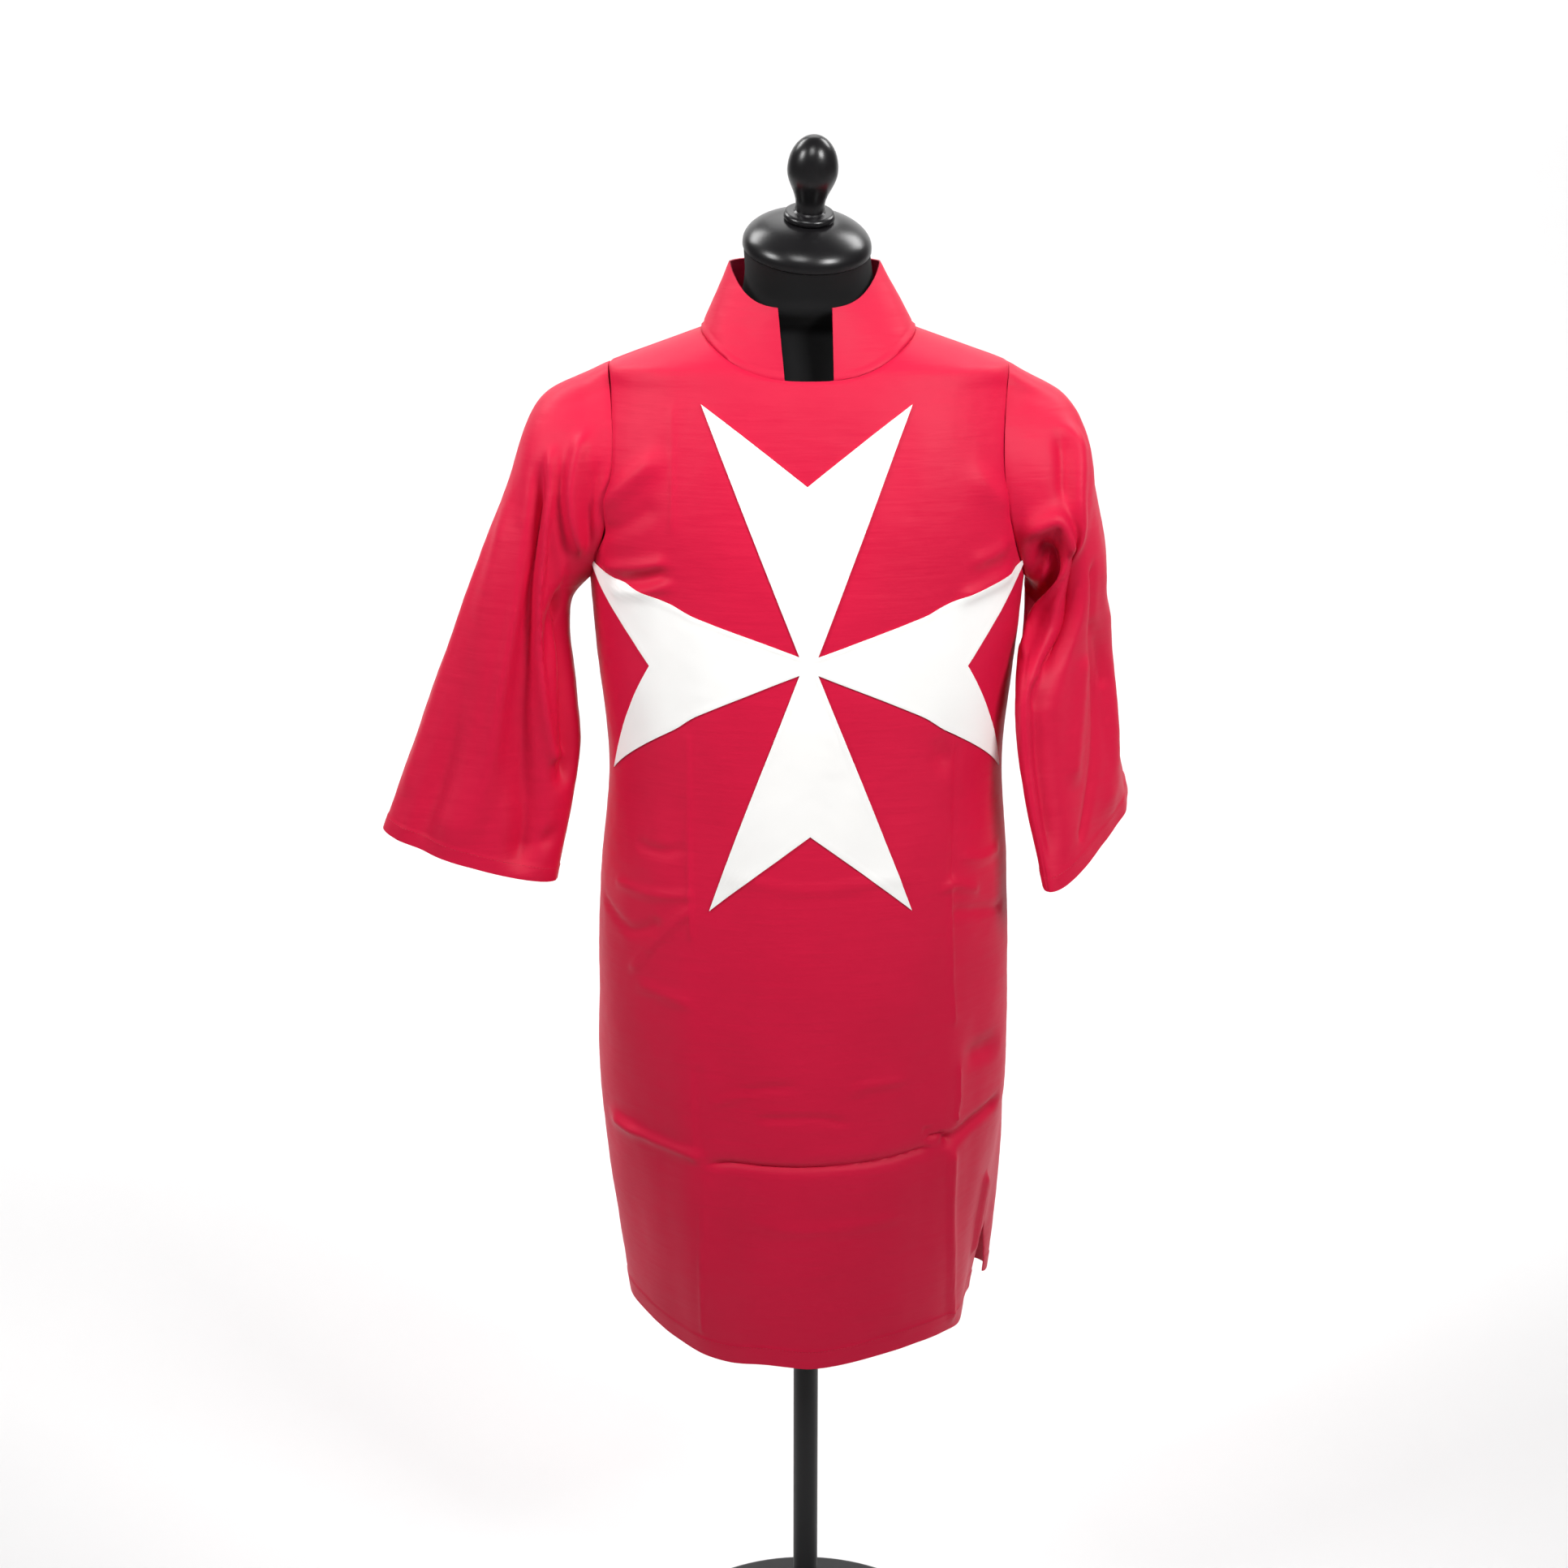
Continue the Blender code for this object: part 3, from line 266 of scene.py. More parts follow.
# Creases of the sleeves: points of the angle round the sleeve and the share of the way down it
SleeveCrease = namedtuple("SleeveCrease", "points half_width depth sharp")
RIGHT_SLEEVE_CREASES = (
    SleeveCrease(((56, 0.115), (84, 0.13), (102, 0.19), (106, 0.28), (112, 0.37), (118, 0.475),
                  (124, 0.565), (132, 0.665), (138, 0.72)), 0.0062, 0.0062, False),
    SleeveCrease(((54, 0.14), (80, 0.185), (90, 0.285), (99, 0.395), (102, 0.50), (104, 0.62),
                  (112, 0.75), (124, 0.865), (132, 1.00)), 0.0150, -0.0150, False),
    SleeveCrease(((30, 0.22), (46, 0.34), (54, 0.475), (60, 0.645), (72, 0.86), (78, 1.00)),
                 0.0200, 0.0060, False),
    SleeveCrease(((56, 0.045), (72, 0.065), (88, 0.080), (102, 0.080), (116, 0.070),
                  (132, 0.045)), 0.0070, 0.0080, False),
    SleeveCrease(((74, 0.020), (92, 0.038), (112, 0.042), (132, 0.028)), 0.0070, -0.0080, False),
    SleeveCrease(((66, 0.100), (90, 0.110), (112, 0.112), (130, 0.105)), 0.0080, -0.0050, False),
    SleeveCrease(((126, 0.10), (134, 0.20), (140, 0.32)), 0.0110, 0.0040, False),
    SleeveCrease(((140, 0.165), (154, 0.305), (153, 0.51), (150, 0.69), (150, 0.80)),
                 0.0140, -0.0130, False),
    SleeveCrease(((130, 0.655), (146, 0.690), (160, 0.700)), 0.0075, 0.0040, False),
    SleeveCrease(((132, 0.935), (146, 0.905), (164, 0.870)), 0.0110, -0.0050, False),
    SleeveCrease(((200, 0.10), (206, 0.45), (214, 0.90)), 0.0160, -0.0050, False),
    SleeveCrease(((262, 0.12), (270, 0.50), (268, 0.95)), 0.0070, 0.0036, True),
    SleeveCrease(((292, 0.20), (300, 0.60), (306, 0.95)), 0.0200, -0.0070, False),
    SleeveCrease(((20, 0.30), (22, 0.60), (26, 0.90)), 0.0150, 0.0030, False),
)
LEFT_SLEEVE_CREASES = (
    SleeveCrease(((138, 0.000), (120, 0.022), (107, 0.068), (103, 0.095), (109, 0.120),
                  (122, 0.160)), 0.0065, 0.0120, False),
    SleeveCrease(((168, 0.010), (142, 0.045), (127, 0.082), (134, 0.108), (158, 0.130),
                  (182, 0.180), (204, 0.26), (216, 0.44)), 0.0110, -0.0190, False),
    SleeveCrease(((118, 0.130), (138, 0.150), (160, 0.188), (174, 0.24), (184, 0.34),
                  (190, 0.47)), 0.0095, 0.0060, False),
    SleeveCrease(((50, 0.088), (66, 0.095), (84, 0.100), (97, 0.105)), 0.0070, -0.0080, False),
    SleeveCrease(((38, 0.110), (62, 0.118), (88, 0.132), (102, 0.19), (104, 0.24)),
                 0.0090, 0.0070, False),
    SleeveCrease(((90, 0.275), (92, 0.36), (92, 0.455), (87, 0.615), (94, 0.775), (108, 0.885),
                  (124, 0.955)), 0.0055, -0.0042, False),
    SleeveCrease(((92, 0.42), (80, 0.52), (74, 0.625)), 0.0055, -0.0030, False),
    SleeveCrease(((56, 0.40), (62, 0.60), (72, 0.80), (84, 0.98)), 0.0140, 0.0060, False),
    SleeveCrease(((98, 0.50), (108, 0.68), (122, 0.84)), 0.0090, 0.0040, False),
    SleeveCrease(((158, 0.50), (157, 0.70), (158, 0.83), (162, 0.98)), 0.0180, -0.0100, False),
    SleeveCrease(((262, 0.10), (268, 0.50), (266, 0.95)), 0.0070, 0.0036, True),
    SleeveCrease(((232, 0.15), (226, 0.55), (220, 0.90)), 0.0180, -0.0060, False),
    SleeveCrease(((300, 0.15), (306, 0.55), (310, 0.95)), 0.0180, -0.0060, False),
)

# Cloth's unevenness: size of each wave, how much longer it is up and down, and its height
Wave = namedtuple("Wave", "size stretch height seed")
BODY_WAVES = (
    Wave(0.085, 2.4, 0.0030, 3.1),
    Wave(0.036, 1.7, 0.0010, 7.7),
    Wave(0.013, 0.8, 0.00028, 11.3),
)
WAVE_TOP_Z = 1.497
WAVE_TOP_FADE = 0.05
SLEEVE_TOP_FADE = 0.030
COLLAR_WAVE_FADE = 0.012

# How far the hem's edge rises at places across the front, from the wearer's right to the left.
# On the back the same rise is kept near the side seams only.
HEM_RISE = (
    (-0.200, 0.027), (-0.180, 0.020), (-0.155, 0.010), (-0.110, 0.001), (-0.085, 0.000),
    (-0.040, 0.005), (0.005, 0.002), (0.035, 0.004), (0.080, 0.009), (0.120, 0.012),
    (0.150, 0.010), (0.170, 0.004), (0.200, 0.010),
)
HEM_RISE_FADE = 0.09
BACK_RISE_SHARPNESS = 4

# Hems and their stitches
HEM_BAND = 0.021
CUFF_BAND = 0.016
BAND_STEP = 0.0007
BAND_BLEND = 0.0022
STITCH_LENGTH = 0.0024
STITCH_SPACING = 0.0034
STITCH_RADIUS = 0.00028
STITCH_SHOULDER = 0.3
STITCH_SINK = 0.3
STITCH_LOOK = 0.0005
STITCH_INSET = 0.0015
STITCH_END_COLUMNS = 2
SEAM_DIP = 0.0008
SEAM_DIP_WIDTH = 0.0030
UNDERARM_SEAM_START = 0.02

# Collar's seam: the roll of the turned cloth above it and the dip of its stitching
ROLL_HEIGHT = 0.0010
ROLL_TOP = 0.0065
ROLL_BLEND = 0.0014
ROLL_START = 0.0012
STITCHED_DIP = 0.0006
STITCHED_DIP_PLACE = 0.0072
STITCHED_DIP_WIDTH = 0.0010

# Dress form: horizontal sections, the neck's leaning forward, the same as the solid's
FormRing = namedtuple("FormRing", "height half_width front side back tilt")
FORM = (
    FormRing(0.720, 0.150, -0.088, 0.000, 0.092, 0),
    FormRing(0.728, 0.162, -0.098, 0.000, 0.104, 0),
    FormRing(0.800, 0.170, -0.105, 0.000, 0.112, 0),
    FormRing(0.900, 0.167, -0.105, 0.000, 0.110, 0),
    FormRing(0.980, 0.154, -0.101, 0.000, 0.098, 0),
    FormRing(1.058, 0.146, -0.100, 0.000, 0.090, 0),
    FormRing(1.160, 0.157, -0.106, 0.000, 0.092, 0),
    FormRing(1.260, 0.172, -0.112, 0.000, 0.098, 0),
    FormRing(1.350, 0.182, -0.102, 0.000, 0.097, 0),
    FormRing(1.410, 0.186, -0.088, 0.000, 0.084, 0),
    FormRing(1.445, 0.1885, -0.076, 0.000, 0.072, 0),
    FormRing(1.4683, 0.1895, -0.064, 0.000, 0.060, 0),
    FormRing(1.4821, 0.1510, -0.056, 0.000, 0.053, 0),
    FormRing(1.4986, 0.1025, -0.050, 0.000, 0.048, 0),
    FormRing(1.512, 0.083, -0.060, -0.003, 0.051, 4),
    FormRing(1.530, 0.068, -0.073, -0.009, 0.055, 10),
    FormRing(1.552, 0.0625, -0.079, -0.0165, 0.046, 18),
)
FORM_SIDES = 96
FORM_STEPS = 5
NECK_TOP = Vector((-0.002, -0.030, 1.5783))
NECK_TOP_RADIUS = 0.0612
NECK_LEAN = math.radians(21)
NECK_SIDE_LEAN = math.radians(4)
CAP_RIM = 0.0625
CAP_RIM_HEIGHT = 0.004
CAP_DOME = 0.028
CAP_SEAT = 0.0250
FINIAL_RING = 0.0250
FINIAL_RING_HEIGHT = 0.008
FINIAL_NECK = 0.0141
FINIAL_NECK_HEIGHT = 0.0145
FINIAL_EGG = 0.0243
FINIAL_EGG_MIDDLE = 0.050
FINIAL_HEIGHT = 0.0835
CAP_STEPS = 16
EGG_STEPS = 24
RING_STEPS = 12
SMALL_BEVEL = 0.0015
TURNED_STEPS = 96
MERGE_DISTANCE = 0.00001
POLE_RADIUS = 0.0135
BASE_RADIUS = 0.175
BASE_HEIGHT = 0.022
BASE_EDGE = 0.010
BASE_EDGE_STEPS = 12

# Cross's fineness and the fullness of its turned edge
CROSS_ROWS = 44
CROSS_COLUMNS = 14
CROSS_PUFF = 0.0005
CROSS_PUFF_INSET = 0.0025
CROSS_PUFF_WIDTH = 0.0018

# Fineness of the cloth, with closer columns and rows where the pressed creases are
HALF_COLUMNS = 70
NECK_COLUMNS = 40
LOWER_ROWS = 214
UPPER_ROWS = 74
SLEEVE_AROUND = 152
SLEEVE_STEPS = 176
COLLAR_STEPS = 64
COLLAR_ROWS = 22
BUSY_COLUMNS = (0.36, 0.50)
BUSY_COLUMN_WIDTH = 0.022
BUSY_COLUMN_GAIN = 2.2
BUSY_HEIGHTS = (0.662, 0.692, 0.453)
BUSY_HEIGHT_WIDTH = 0.018
BUSY_HEIGHT_GAIN = 1.6
SPREAD_STEPS = 4001
SLOPE_STEP = 0.001
TURN_STEP = 0.01
ARC_ROWS = 60
ARC_COLUMNS = 181
RISING_STEP = 1e-9
TINY = 1e-12
CLOTH_EDGE_ANGLE = math.radians(60)
FORM_EDGE_ANGLE = math.radians(50)
TURNED_EDGE_ANGLE = math.radians(35)

# Colours, as linear light
RED = (0.660, 0.0070, 0.0500)
RED_DEEP = (0.575, 0.0045, 0.0400)
RED_SHEEN = (1.0, 0.25, 0.32, 1.0)
WHITE = (0.96, 0.955, 0.94)
WHITE_DULL = (0.93, 0.92, 0.90)
THREAD_RED = (0.52, 0.008, 0.035)
FORM_BLACK = (0.005, 0.005, 0.0055)
FORM_BLACK_WORN = (0.008, 0.008, 0.0085)
WOOD_BLACK = (0.003, 0.003, 0.0035)
WOOD_BLACK_WORN = (0.012, 0.011, 0.012)
METAL_BLACK = (0.010, 0.010, 0.011)
METAL_BLACK_WORN = (0.014, 0.014, 0.015)
FLOOR_PALE = (0.86, 0.86, 0.86)
FLOOR_PALE_DULL = (0.84, 0.84, 0.84)


def unit(vectors):
    return vectors / np.maximum(np.linalg.norm(vectors, axis=-1, keepdims=True), TINY)


def smooth_step(value):
    held = np.clip(value, 0.0, 1.0)
    return held * held * (3.0 - 2.0 * held)


def lengths_along(points, axis=0):
    """Length of the way from a line's or grid's first points to each of its points."""
    steps = np.linalg.norm(np.diff(points, axis=axis), axis=-1)
    start = np.zeros_like(np.take(steps, [0], axis=axis))
    return np.concatenate([start, np.cumsum(steps, axis=axis)], axis=axis)


def read_along(at, lengths, values):
    """Points or directions read at places along a line."""
    return np.stack([np.interp(at, lengths, values[:, axis]) for axis in range(3)], axis=-1)


def curve_through(places, values, at):
    """Cubic curve through values at rising places, read at other places."""
    places = np.asarray(places, dtype=float)
    values = np.asarray(values, dtype=float)
    slopes = np.gradient(values, places, axis=0)
    index = np.clip(np.searchsorted(places, at, side="right") - 1, 0, len(places) - 2)
    span = places[index + 1] - places[index]
    part = np.clip((at - places[index]) / span, 0.0, 1.0)
    if values.ndim > 1:
        extra = (...,) + (None,) * (values.ndim - 1)
        span = span[extra]
        part = part[extra]
    start = (1 + 2 * part) * (1 - part) ** 2 * values[index]
    leave = part * (1 - part) ** 2 * span * slopes[index]
    end = part**2 * (3 - 2 * part) * values[index + 1]
    arrive = part**2 * (part - 1) * span * slopes[index + 1]
    return start + leave + end + arrive


def body_column(name, heights):
    places = [section.height for section in BODY]
    values = [getattr(section, name) for section in BODY]
    return curve_through(places, values, heights)


def half_width(heights):
    """Half-width of the body, which follows the shoulder seams above their tips."""
    ridge = SHOULDER_TIP[0] - (heights - SHOULDER_TIP[1]) * RIDGE_SLOPE
    below = body_column("half_width", np.minimum(heights, SHOULDER_TIP[1]))
    return np.where(heights > SHOULDER_TIP[1], ridge, below)


def half_depth(heights, face):
    edge = body_column("front" if face == FRONT else "back", heights)
    return np.abs(edge - body_column("side", heights))


def body_push(across, heights, face):
    """How far the large folds move the body's cloth out."""
    angle = np.degrees(np.arcsin(np.clip(across, -1.0, 1.0)))
    if face == BACK:
        angle = 180.0 - angle
    push = np.zeros_like(angle)
    for fold in BODY_FOLDS:
        away = (angle - fold.angle + 180.0) % 360.0 - 180.0
        near = np.clip(np.abs(away) / fold.spread, 0.0, 1.0)
        fade = FOLD_FADE * (fold.top - fold.bottom)
        below = smooth_step((fold.top - heights) / fade)
        above = smooth_step((heights - fold.bottom) / fade)
        push += fold.depth * np.cos(near * math.pi / 2) ** 2 * below * above
    return push


def body_cloth(x, z, face):
    """Points of the body's cloth on its front or back, x from its middle, and the way out."""
    width = half_width(z)
    depth = half_depth(z, face)
    side = body_column("side", z)
    roundness = body_column("front_round" if face == FRONT else "back_round", z)
    above = z + SLOPE_STEP
    below = z - SLOPE_STEP
    width_rise = (half_width(above) - half_width(below)) / (2 * SLOPE_STEP)
    depth_rise = (half_depth(above, face) - half_depth(below, face)) / (2 * SLOPE_STEP)
    side_rise = (body_column("side", above) - body_column("side", below)) / (2 * SLOPE_STEP)
    across = np.clip(np.abs(x) / width, 0.0, 1.0)
    along = np.maximum(1.0 - across**roundness, 0.0) ** (1.0 / roundness)
    out_x = np.sign(x) * across ** (roundness - 1) / width
    out_y = face * along ** (roundness - 1) / depth
    out_z = -(across**roundness) * width_rise / width
    out_z -= along**roundness * depth_rise / depth
    out_z -= out_y * side_rise
    out = unit(np.stack([out_x, out_y, out_z], axis=-1))
    middle = body_column("middle", z)
    points = np.stack([middle + x, side + face * depth * along, z], axis=-1)
    push = body_push(np.sign(x) * across, z, face)
    return points + out * push[..., None], out


class ArcTable:
    """Arc length across one face of the body, from x = 0, for any x and height."""

    def __init__(self, face):
        self.heights = np.linspace(HEM_Z, NECK_POINT[1], ARC_ROWS)
        turned = np.sin(np.linspace(-math.pi / 2, math.pi / 2, ARC_COLUMNS))
        self.rows = []
        for z in self.heights:
            x = turned * half_width(np.array(z))
            points, _ = body_cloth(x, np.full_like(x, z), face)
            lengths = lengths_along(points)
            lengths -= np.interp(0.0, points[:, 0], lengths)
            rising = np.maximum.accumulate(points[:, 0] + np.arange(ARC_COLUMNS) * RISING_STEP)
            self.rows.append((rising, lengths))

    def read(self, x, z):
        place = (z - self.heights[0]) / (self.heights[1] - self.heights[0])
        low = np.clip(np.floor(place).astype(int), 0, ARC_ROWS - 2)
        share = np.clip(place - low, 0.0, 1.0)
        result = np.zeros_like(x)
        for number in range(ARC_ROWS):
            first = low == number
            second = low + 1 == number
            for chosen, weight in ((first, 1.0 - share), (second, share)):
                if chosen.any():
                    result[chosen] += weight[chosen] * np.interp(x[chosen], *self.rows[number])
        return result


def line_away(places, line):
    """How far points are from a bent line, and the share of the way along it."""
    best = np.full(places.shape[:-1], np.inf)
    along = np.zeros(places.shape[:-1])
    ends = lengths_along(line)
    for number, (start, end) in enumerate(zip(line[:-1], line[1:])):
        way = end - start
        part = np.clip(((places - start) @ way) / (way @ way), 0.0, 1.0)
        away = np.linalg.norm(places - start - part[..., None] * way, axis=-1)
        nearer = away < best
        best = np.where(nearer, away, best)
        reached = ends[number] + part * (ends[number + 1] - ends[number])
        along = np.where(nearer, reached / ends[-1], along)
    return best, along


def rounded_line(line):
    """A bent line's points joined by a smooth curve."""
    line = np.asarray(line, dtype=float)
    if len(line) < 3:
        return line
    last = len(line) - 1
    at = np.linspace(0.0, float(last), LINE_STEPS * last + 1)
    return curve_through(np.arange(len(line)), line, at)


def crease_push(places, line, crease):
    """The push of one crease, which fades towards both of its ends."""
    push = np.zeros(places.shape[:-1])
    bent = rounded_line(line)
    reach = crease.half_width * CREASE_REACH
    above = places > bent.min(axis=0) - reach
    below = places < bent.max(axis=0) + reach
    close = np.all(above & below, axis=-1)
    if not close.any():
        return push
    away, along = line_away(places[close], bent)
    near = away / crease.half_width
    if crease.sharp:
        section = np.exp(-near * SHARP_FALL) * (1.0 - np.clip(near / CREASE_REACH, 0.0, 1.0)) ** 2
    else:
        section = np.exp(-(near**2))
    to_end = np.minimum(along, 1.0 - along) * lengths_along(bent)[-1]
    ends = smooth_step(to_end / (crease.half_width * CREASE_FADE))
    push[close] = crease.depth * section * ends
    return push


def seam_dip(away):
    """How far the cloth dips at a distance from a seam."""
    return SEAM_DIP * np.exp(-((away / SEAM_DIP_WIDTH) ** 2))


def turned_band(from_edge, band):
    """How far a turned-up edge stands out, at a distance from that edge."""
    return BAND_STEP * smooth_step((band - from_edge) / BAND_BLEND + 0.5)


def waves(points, table):
    """Small unevenness of the cloth, worked out from where its points are."""
    flat = points.reshape(-1, 3)
    total = np.zeros(len(flat))
    for wave in table:
        scaled = flat / wave.size
        scaled[:, 2] /= wave.stretch
        scaled += wave.seed
        total += wave.height * np.array([noise.noise(Vector(place)) for place in scaled])
    return total.reshape(points.shape[:-1])


def spread_places(count, low, high, busy, width, gain):
    """Rising places from low to high, closer together near the busy ones."""
    fine = np.linspace(low, high, SPREAD_STEPS)
    density = np.ones_like(fine)
    for place in busy:
        density += gain * np.exp(-(((fine - place) / width) ** 2))
    total = np.concatenate([[0.0], np.cumsum((density[1:] + density[:-1]) / 2)])
    return np.interp(np.linspace(0.0, total[-1], count), total, fine)


def armhole_edge(share):
    underarm_x = float(half_width(np.array(UNDERARM_Z)))
    x = underarm_x + (SHOULDER_TIP[0] - underarm_x) * share
    x = x - ARMHOLE_HOLLOW * np.sin(math.pi * share)
    z = UNDERARM_Z + (SHOULDER_TIP[1] - UNDERARM_Z) * share
    return x, z


def armhole_shares(steps):
    return (1.0 - np.cos(np.linspace(0.0, math.pi, steps + 1))) / 2.0


def armhole_ring(side, steps):
    """The armhole's loop from the tip over the front, its seam's plane and the way outwards."""
    share = armhole_shares(steps)[::-1]
    x, z = armhole_edge(share)
    front, _ = body_cloth(side * x, z, FRONT)
    back, _ = body_cloth(side * x, z, BACK)
    loop = np.concatenate([front, back[-2:0:-1]])
    tangent = unit(np.roll(loop, -1, axis=0) - np.roll(loop, 1, axis=0))
    sideways = np.array([float(side), 0.0, 0.0])
    spoke = unit(np.cross(tangent, sideways))
    spoke *= np.sign(np.sum(spoke * (loop - loop.mean(axis=0)), axis=1, keepdims=True))
    out = unit(spoke * math.cos(ARMHOLE_TILT) + sideways * math.sin(ARMHOLE_TILT))
    onward = unit(np.cross(tangent, out))
    onward *= np.sign(onward[:, :1] * side)
    return loop, out, onward


def neckline(angles):
    """Neckline from the front's middle (0) round to the back's (pi), on the side of +X."""
    x = NECK_POINT[0] * np.sin(angles)
    rise = (NECK_POINT[1] - FRONT_NECK_Z) * np.abs(np.sin(angles)) ** NECKLINE_CURVE
    z = np.where(angles < math.pi / 2, FRONT_NECK_Z + rise, NECK_POINT[1])
    front, front_out = body_cloth(x, z, FRONT)
    back, back_out = body_cloth(x, z, BACK)
    in_front = (angles < math.pi / 2)[:, None]
    return np.where(in_front, front, back), np.where(in_front, front_out, back_out)


def collar_top(angles):
    start = math.pi / 2 / COLLAR_COLUMNS
    turned = COLLAR_TOP_START + (angles - start) * (math.pi - COLLAR_TOP_START) / (math.pi - start)
    x = COLLAR_TOP_HALF_WIDTH * np.sin(turned)
    y = COLLAR_TOP_MIDDLE_Y - COLLAR_TOP_HALF_DEPTH * np.cos(turned)
    rise = smooth_step((1.0 - np.cos(turned)) / 2.0 / COLLAR_TOP_RISE)
    z = COLLAR_TOP_FRONT_Z + (COLLAR_TOP_BACK_Z - COLLAR_TOP_FRONT_Z) * rise
    return np.stack([x, y, z], axis=-1)


def neck_seam(angles):
    """Neckline points with their seam's plane and the way up into the collar."""
    points, cloth_out = neckline(angles)
    ahead, _ = neckline(np.minimum(angles + TURN_STEP, math.pi))
    behind, _ = neckline(np.maximum(angles - TURN_STEP, 0.0))
    tangent = unit(ahead - behind)
    collar_out = unit(np.cross(tangent, collar_top(angles) - points))
    collar_out *= np.sign(np.sum(collar_out * cloth_out, axis=1, keepdims=True))
    out = unit(cloth_out + collar_out)
    onward = unit(np.cross(tangent, out))
    onward *= np.sign(onward[:, 2:3])
    return points, out, onward


def mirrored(values):
    return values * np.array([-1.0, 1.0, 1.0])


def panel_columns():
    """Places across a panel from -1 to 1, finer near the pressed creases."""
    outer = np.linspace(0.0, 1.0, HALF_COLUMNS - NECK_COLUMNS + 1)
    neck_share = NECK_COLUMNS / HALF_COLUMNS
    inner = spread_places(
        NECK_COLUMNS + 1, 0.0, neck_share, BUSY_COLUMNS, BUSY_COLUMN_WIDTH, BUSY_COLUMN_GAIN
    )
    half = np.concatenate([inner[:-1], neck_share + outer * (1.0 - neck_share)])
    return np.concatenate([-half[:0:-1], half])


def panel_outline(columns, face):
    """x and z of a panel's top edge for places across it from -1 to 1."""
    neck_share = NECK_COLUMNS / HALF_COLUMNS
    place = np.abs(columns)
    on_neck = NECK_POINT[0] * np.sin(np.minimum(place / neck_share, 1.0) * math.pi / 2)
    rise = (on_neck / NECK_POINT[0]) ** NECKLINE_CURVE
    neck_z = FRONT_NECK_Z + (NECK_POINT[1] - FRONT_NECK_Z) * rise
    if face == BACK:
        neck_z = np.full_like(on_neck, NECK_POINT[1])
    down = (place - neck_share) / (1.0 - neck_share)
    on_shoulder = NECK_POINT[0] + (SHOULDER_TIP[0] - NECK_POINT[0]) * down
    shoulder_z = NECK_POINT[1] + (SHOULDER_TIP[1] - NECK_POINT[1]) * down
    beside = place > neck_share
    x = np.where(beside, on_shoulder, on_neck)
    z = np.where(beside, shoulder_z, neck_z)
    return np.sign(columns) * x, z


def body_detail(points, x, z, face, arcs):
    """How far creases and waves move one face of the body out from its plain points."""
    places = np.stack([arcs.read(points[..., 0], z), z], axis=-1)
    push = np.zeros(z.shape)
    for crease in BODY_CREASES:
        if crease.face != face:
            continue
        line_x, line_z = np.array(crease.points).T
        line = np.stack([arcs.read(line_x, line_z), line_z], axis=-1)
        push += crease_push(places, line, crease)
    across = np.abs(x) / half_width(z)
    push *= smooth_step((1.0 - across) / CREASE_SIDE_FADE)
    push *= smooth_step((NECK_POINT[1] - z) / CREASE_TOP_FADE + CREASE_TOP_SHARE)
    return push + waves(points, BODY_WAVES) * smooth_step((WAVE_TOP_Z - z) / WAVE_TOP_FADE)


def panel_grid(face, arcs):
    """Middle points of a front or back panel and the way through its wall, row by row."""
    columns = panel_columns()
    turned = np.sin(columns * math.pi / 2)
    lower = spread_places(
        LOWER_ROWS + 1, HEM_Z, UNDERARM_Z, BUSY_HEIGHTS, BUSY_HEIGHT_WIDTH, BUSY_HEIGHT_GAIN
    )
    x_rows = [half_width(np.full_like(columns, z)) * turned for z in lower]
    z_rows = [np.full_like(columns, z) for z in lower]
    top_x, top_z = panel_outline(columns, face)
    low_x = x_rows[-1]
    for share in armhole_shares(UPPER_ROWS)[1:]:
        hollow = np.sign(columns) * columns**4 * ARMHOLE_HOLLOW * math.sin(math.pi * share)
        x_rows.append(low_x + (top_x - low_x) * share - hollow)
        z_rows.append(UNDERARM_Z + (top_z - UNDERARM_Z) * share)
    x = np.stack(x_rows)
    z = np.stack(z_rows)
    rise = curve_through(*zip(*HEM_RISE), x[0])
    if face == BACK:
        rise *= np.abs(columns) ** BACK_RISE_SHARPNESS
    z += rise * smooth_step(1.0 - (z - HEM_Z) / HEM_RISE_FADE)
    points, out = body_cloth(x, z, face)
    push = body_detail(points, x, z, face, arcs)
    push -= seam_dips(points)
    push += turned_band(lengths_along(points), HEM_BAND)
    points = points + out * push[..., None]
    set_panel_seams(points, out, face)
    return points, out


def seam_dips(points):
    """A shallow dip of the cloth along its side, armhole, shoulder and neck seams."""
    right = lengths_along(points, axis=1)
    height = lengths_along(points)
    to_side = np.minimum(right, right[:, -1:] - right)
    return seam_dip(np.minimum(to_side, height[-1:] - height))


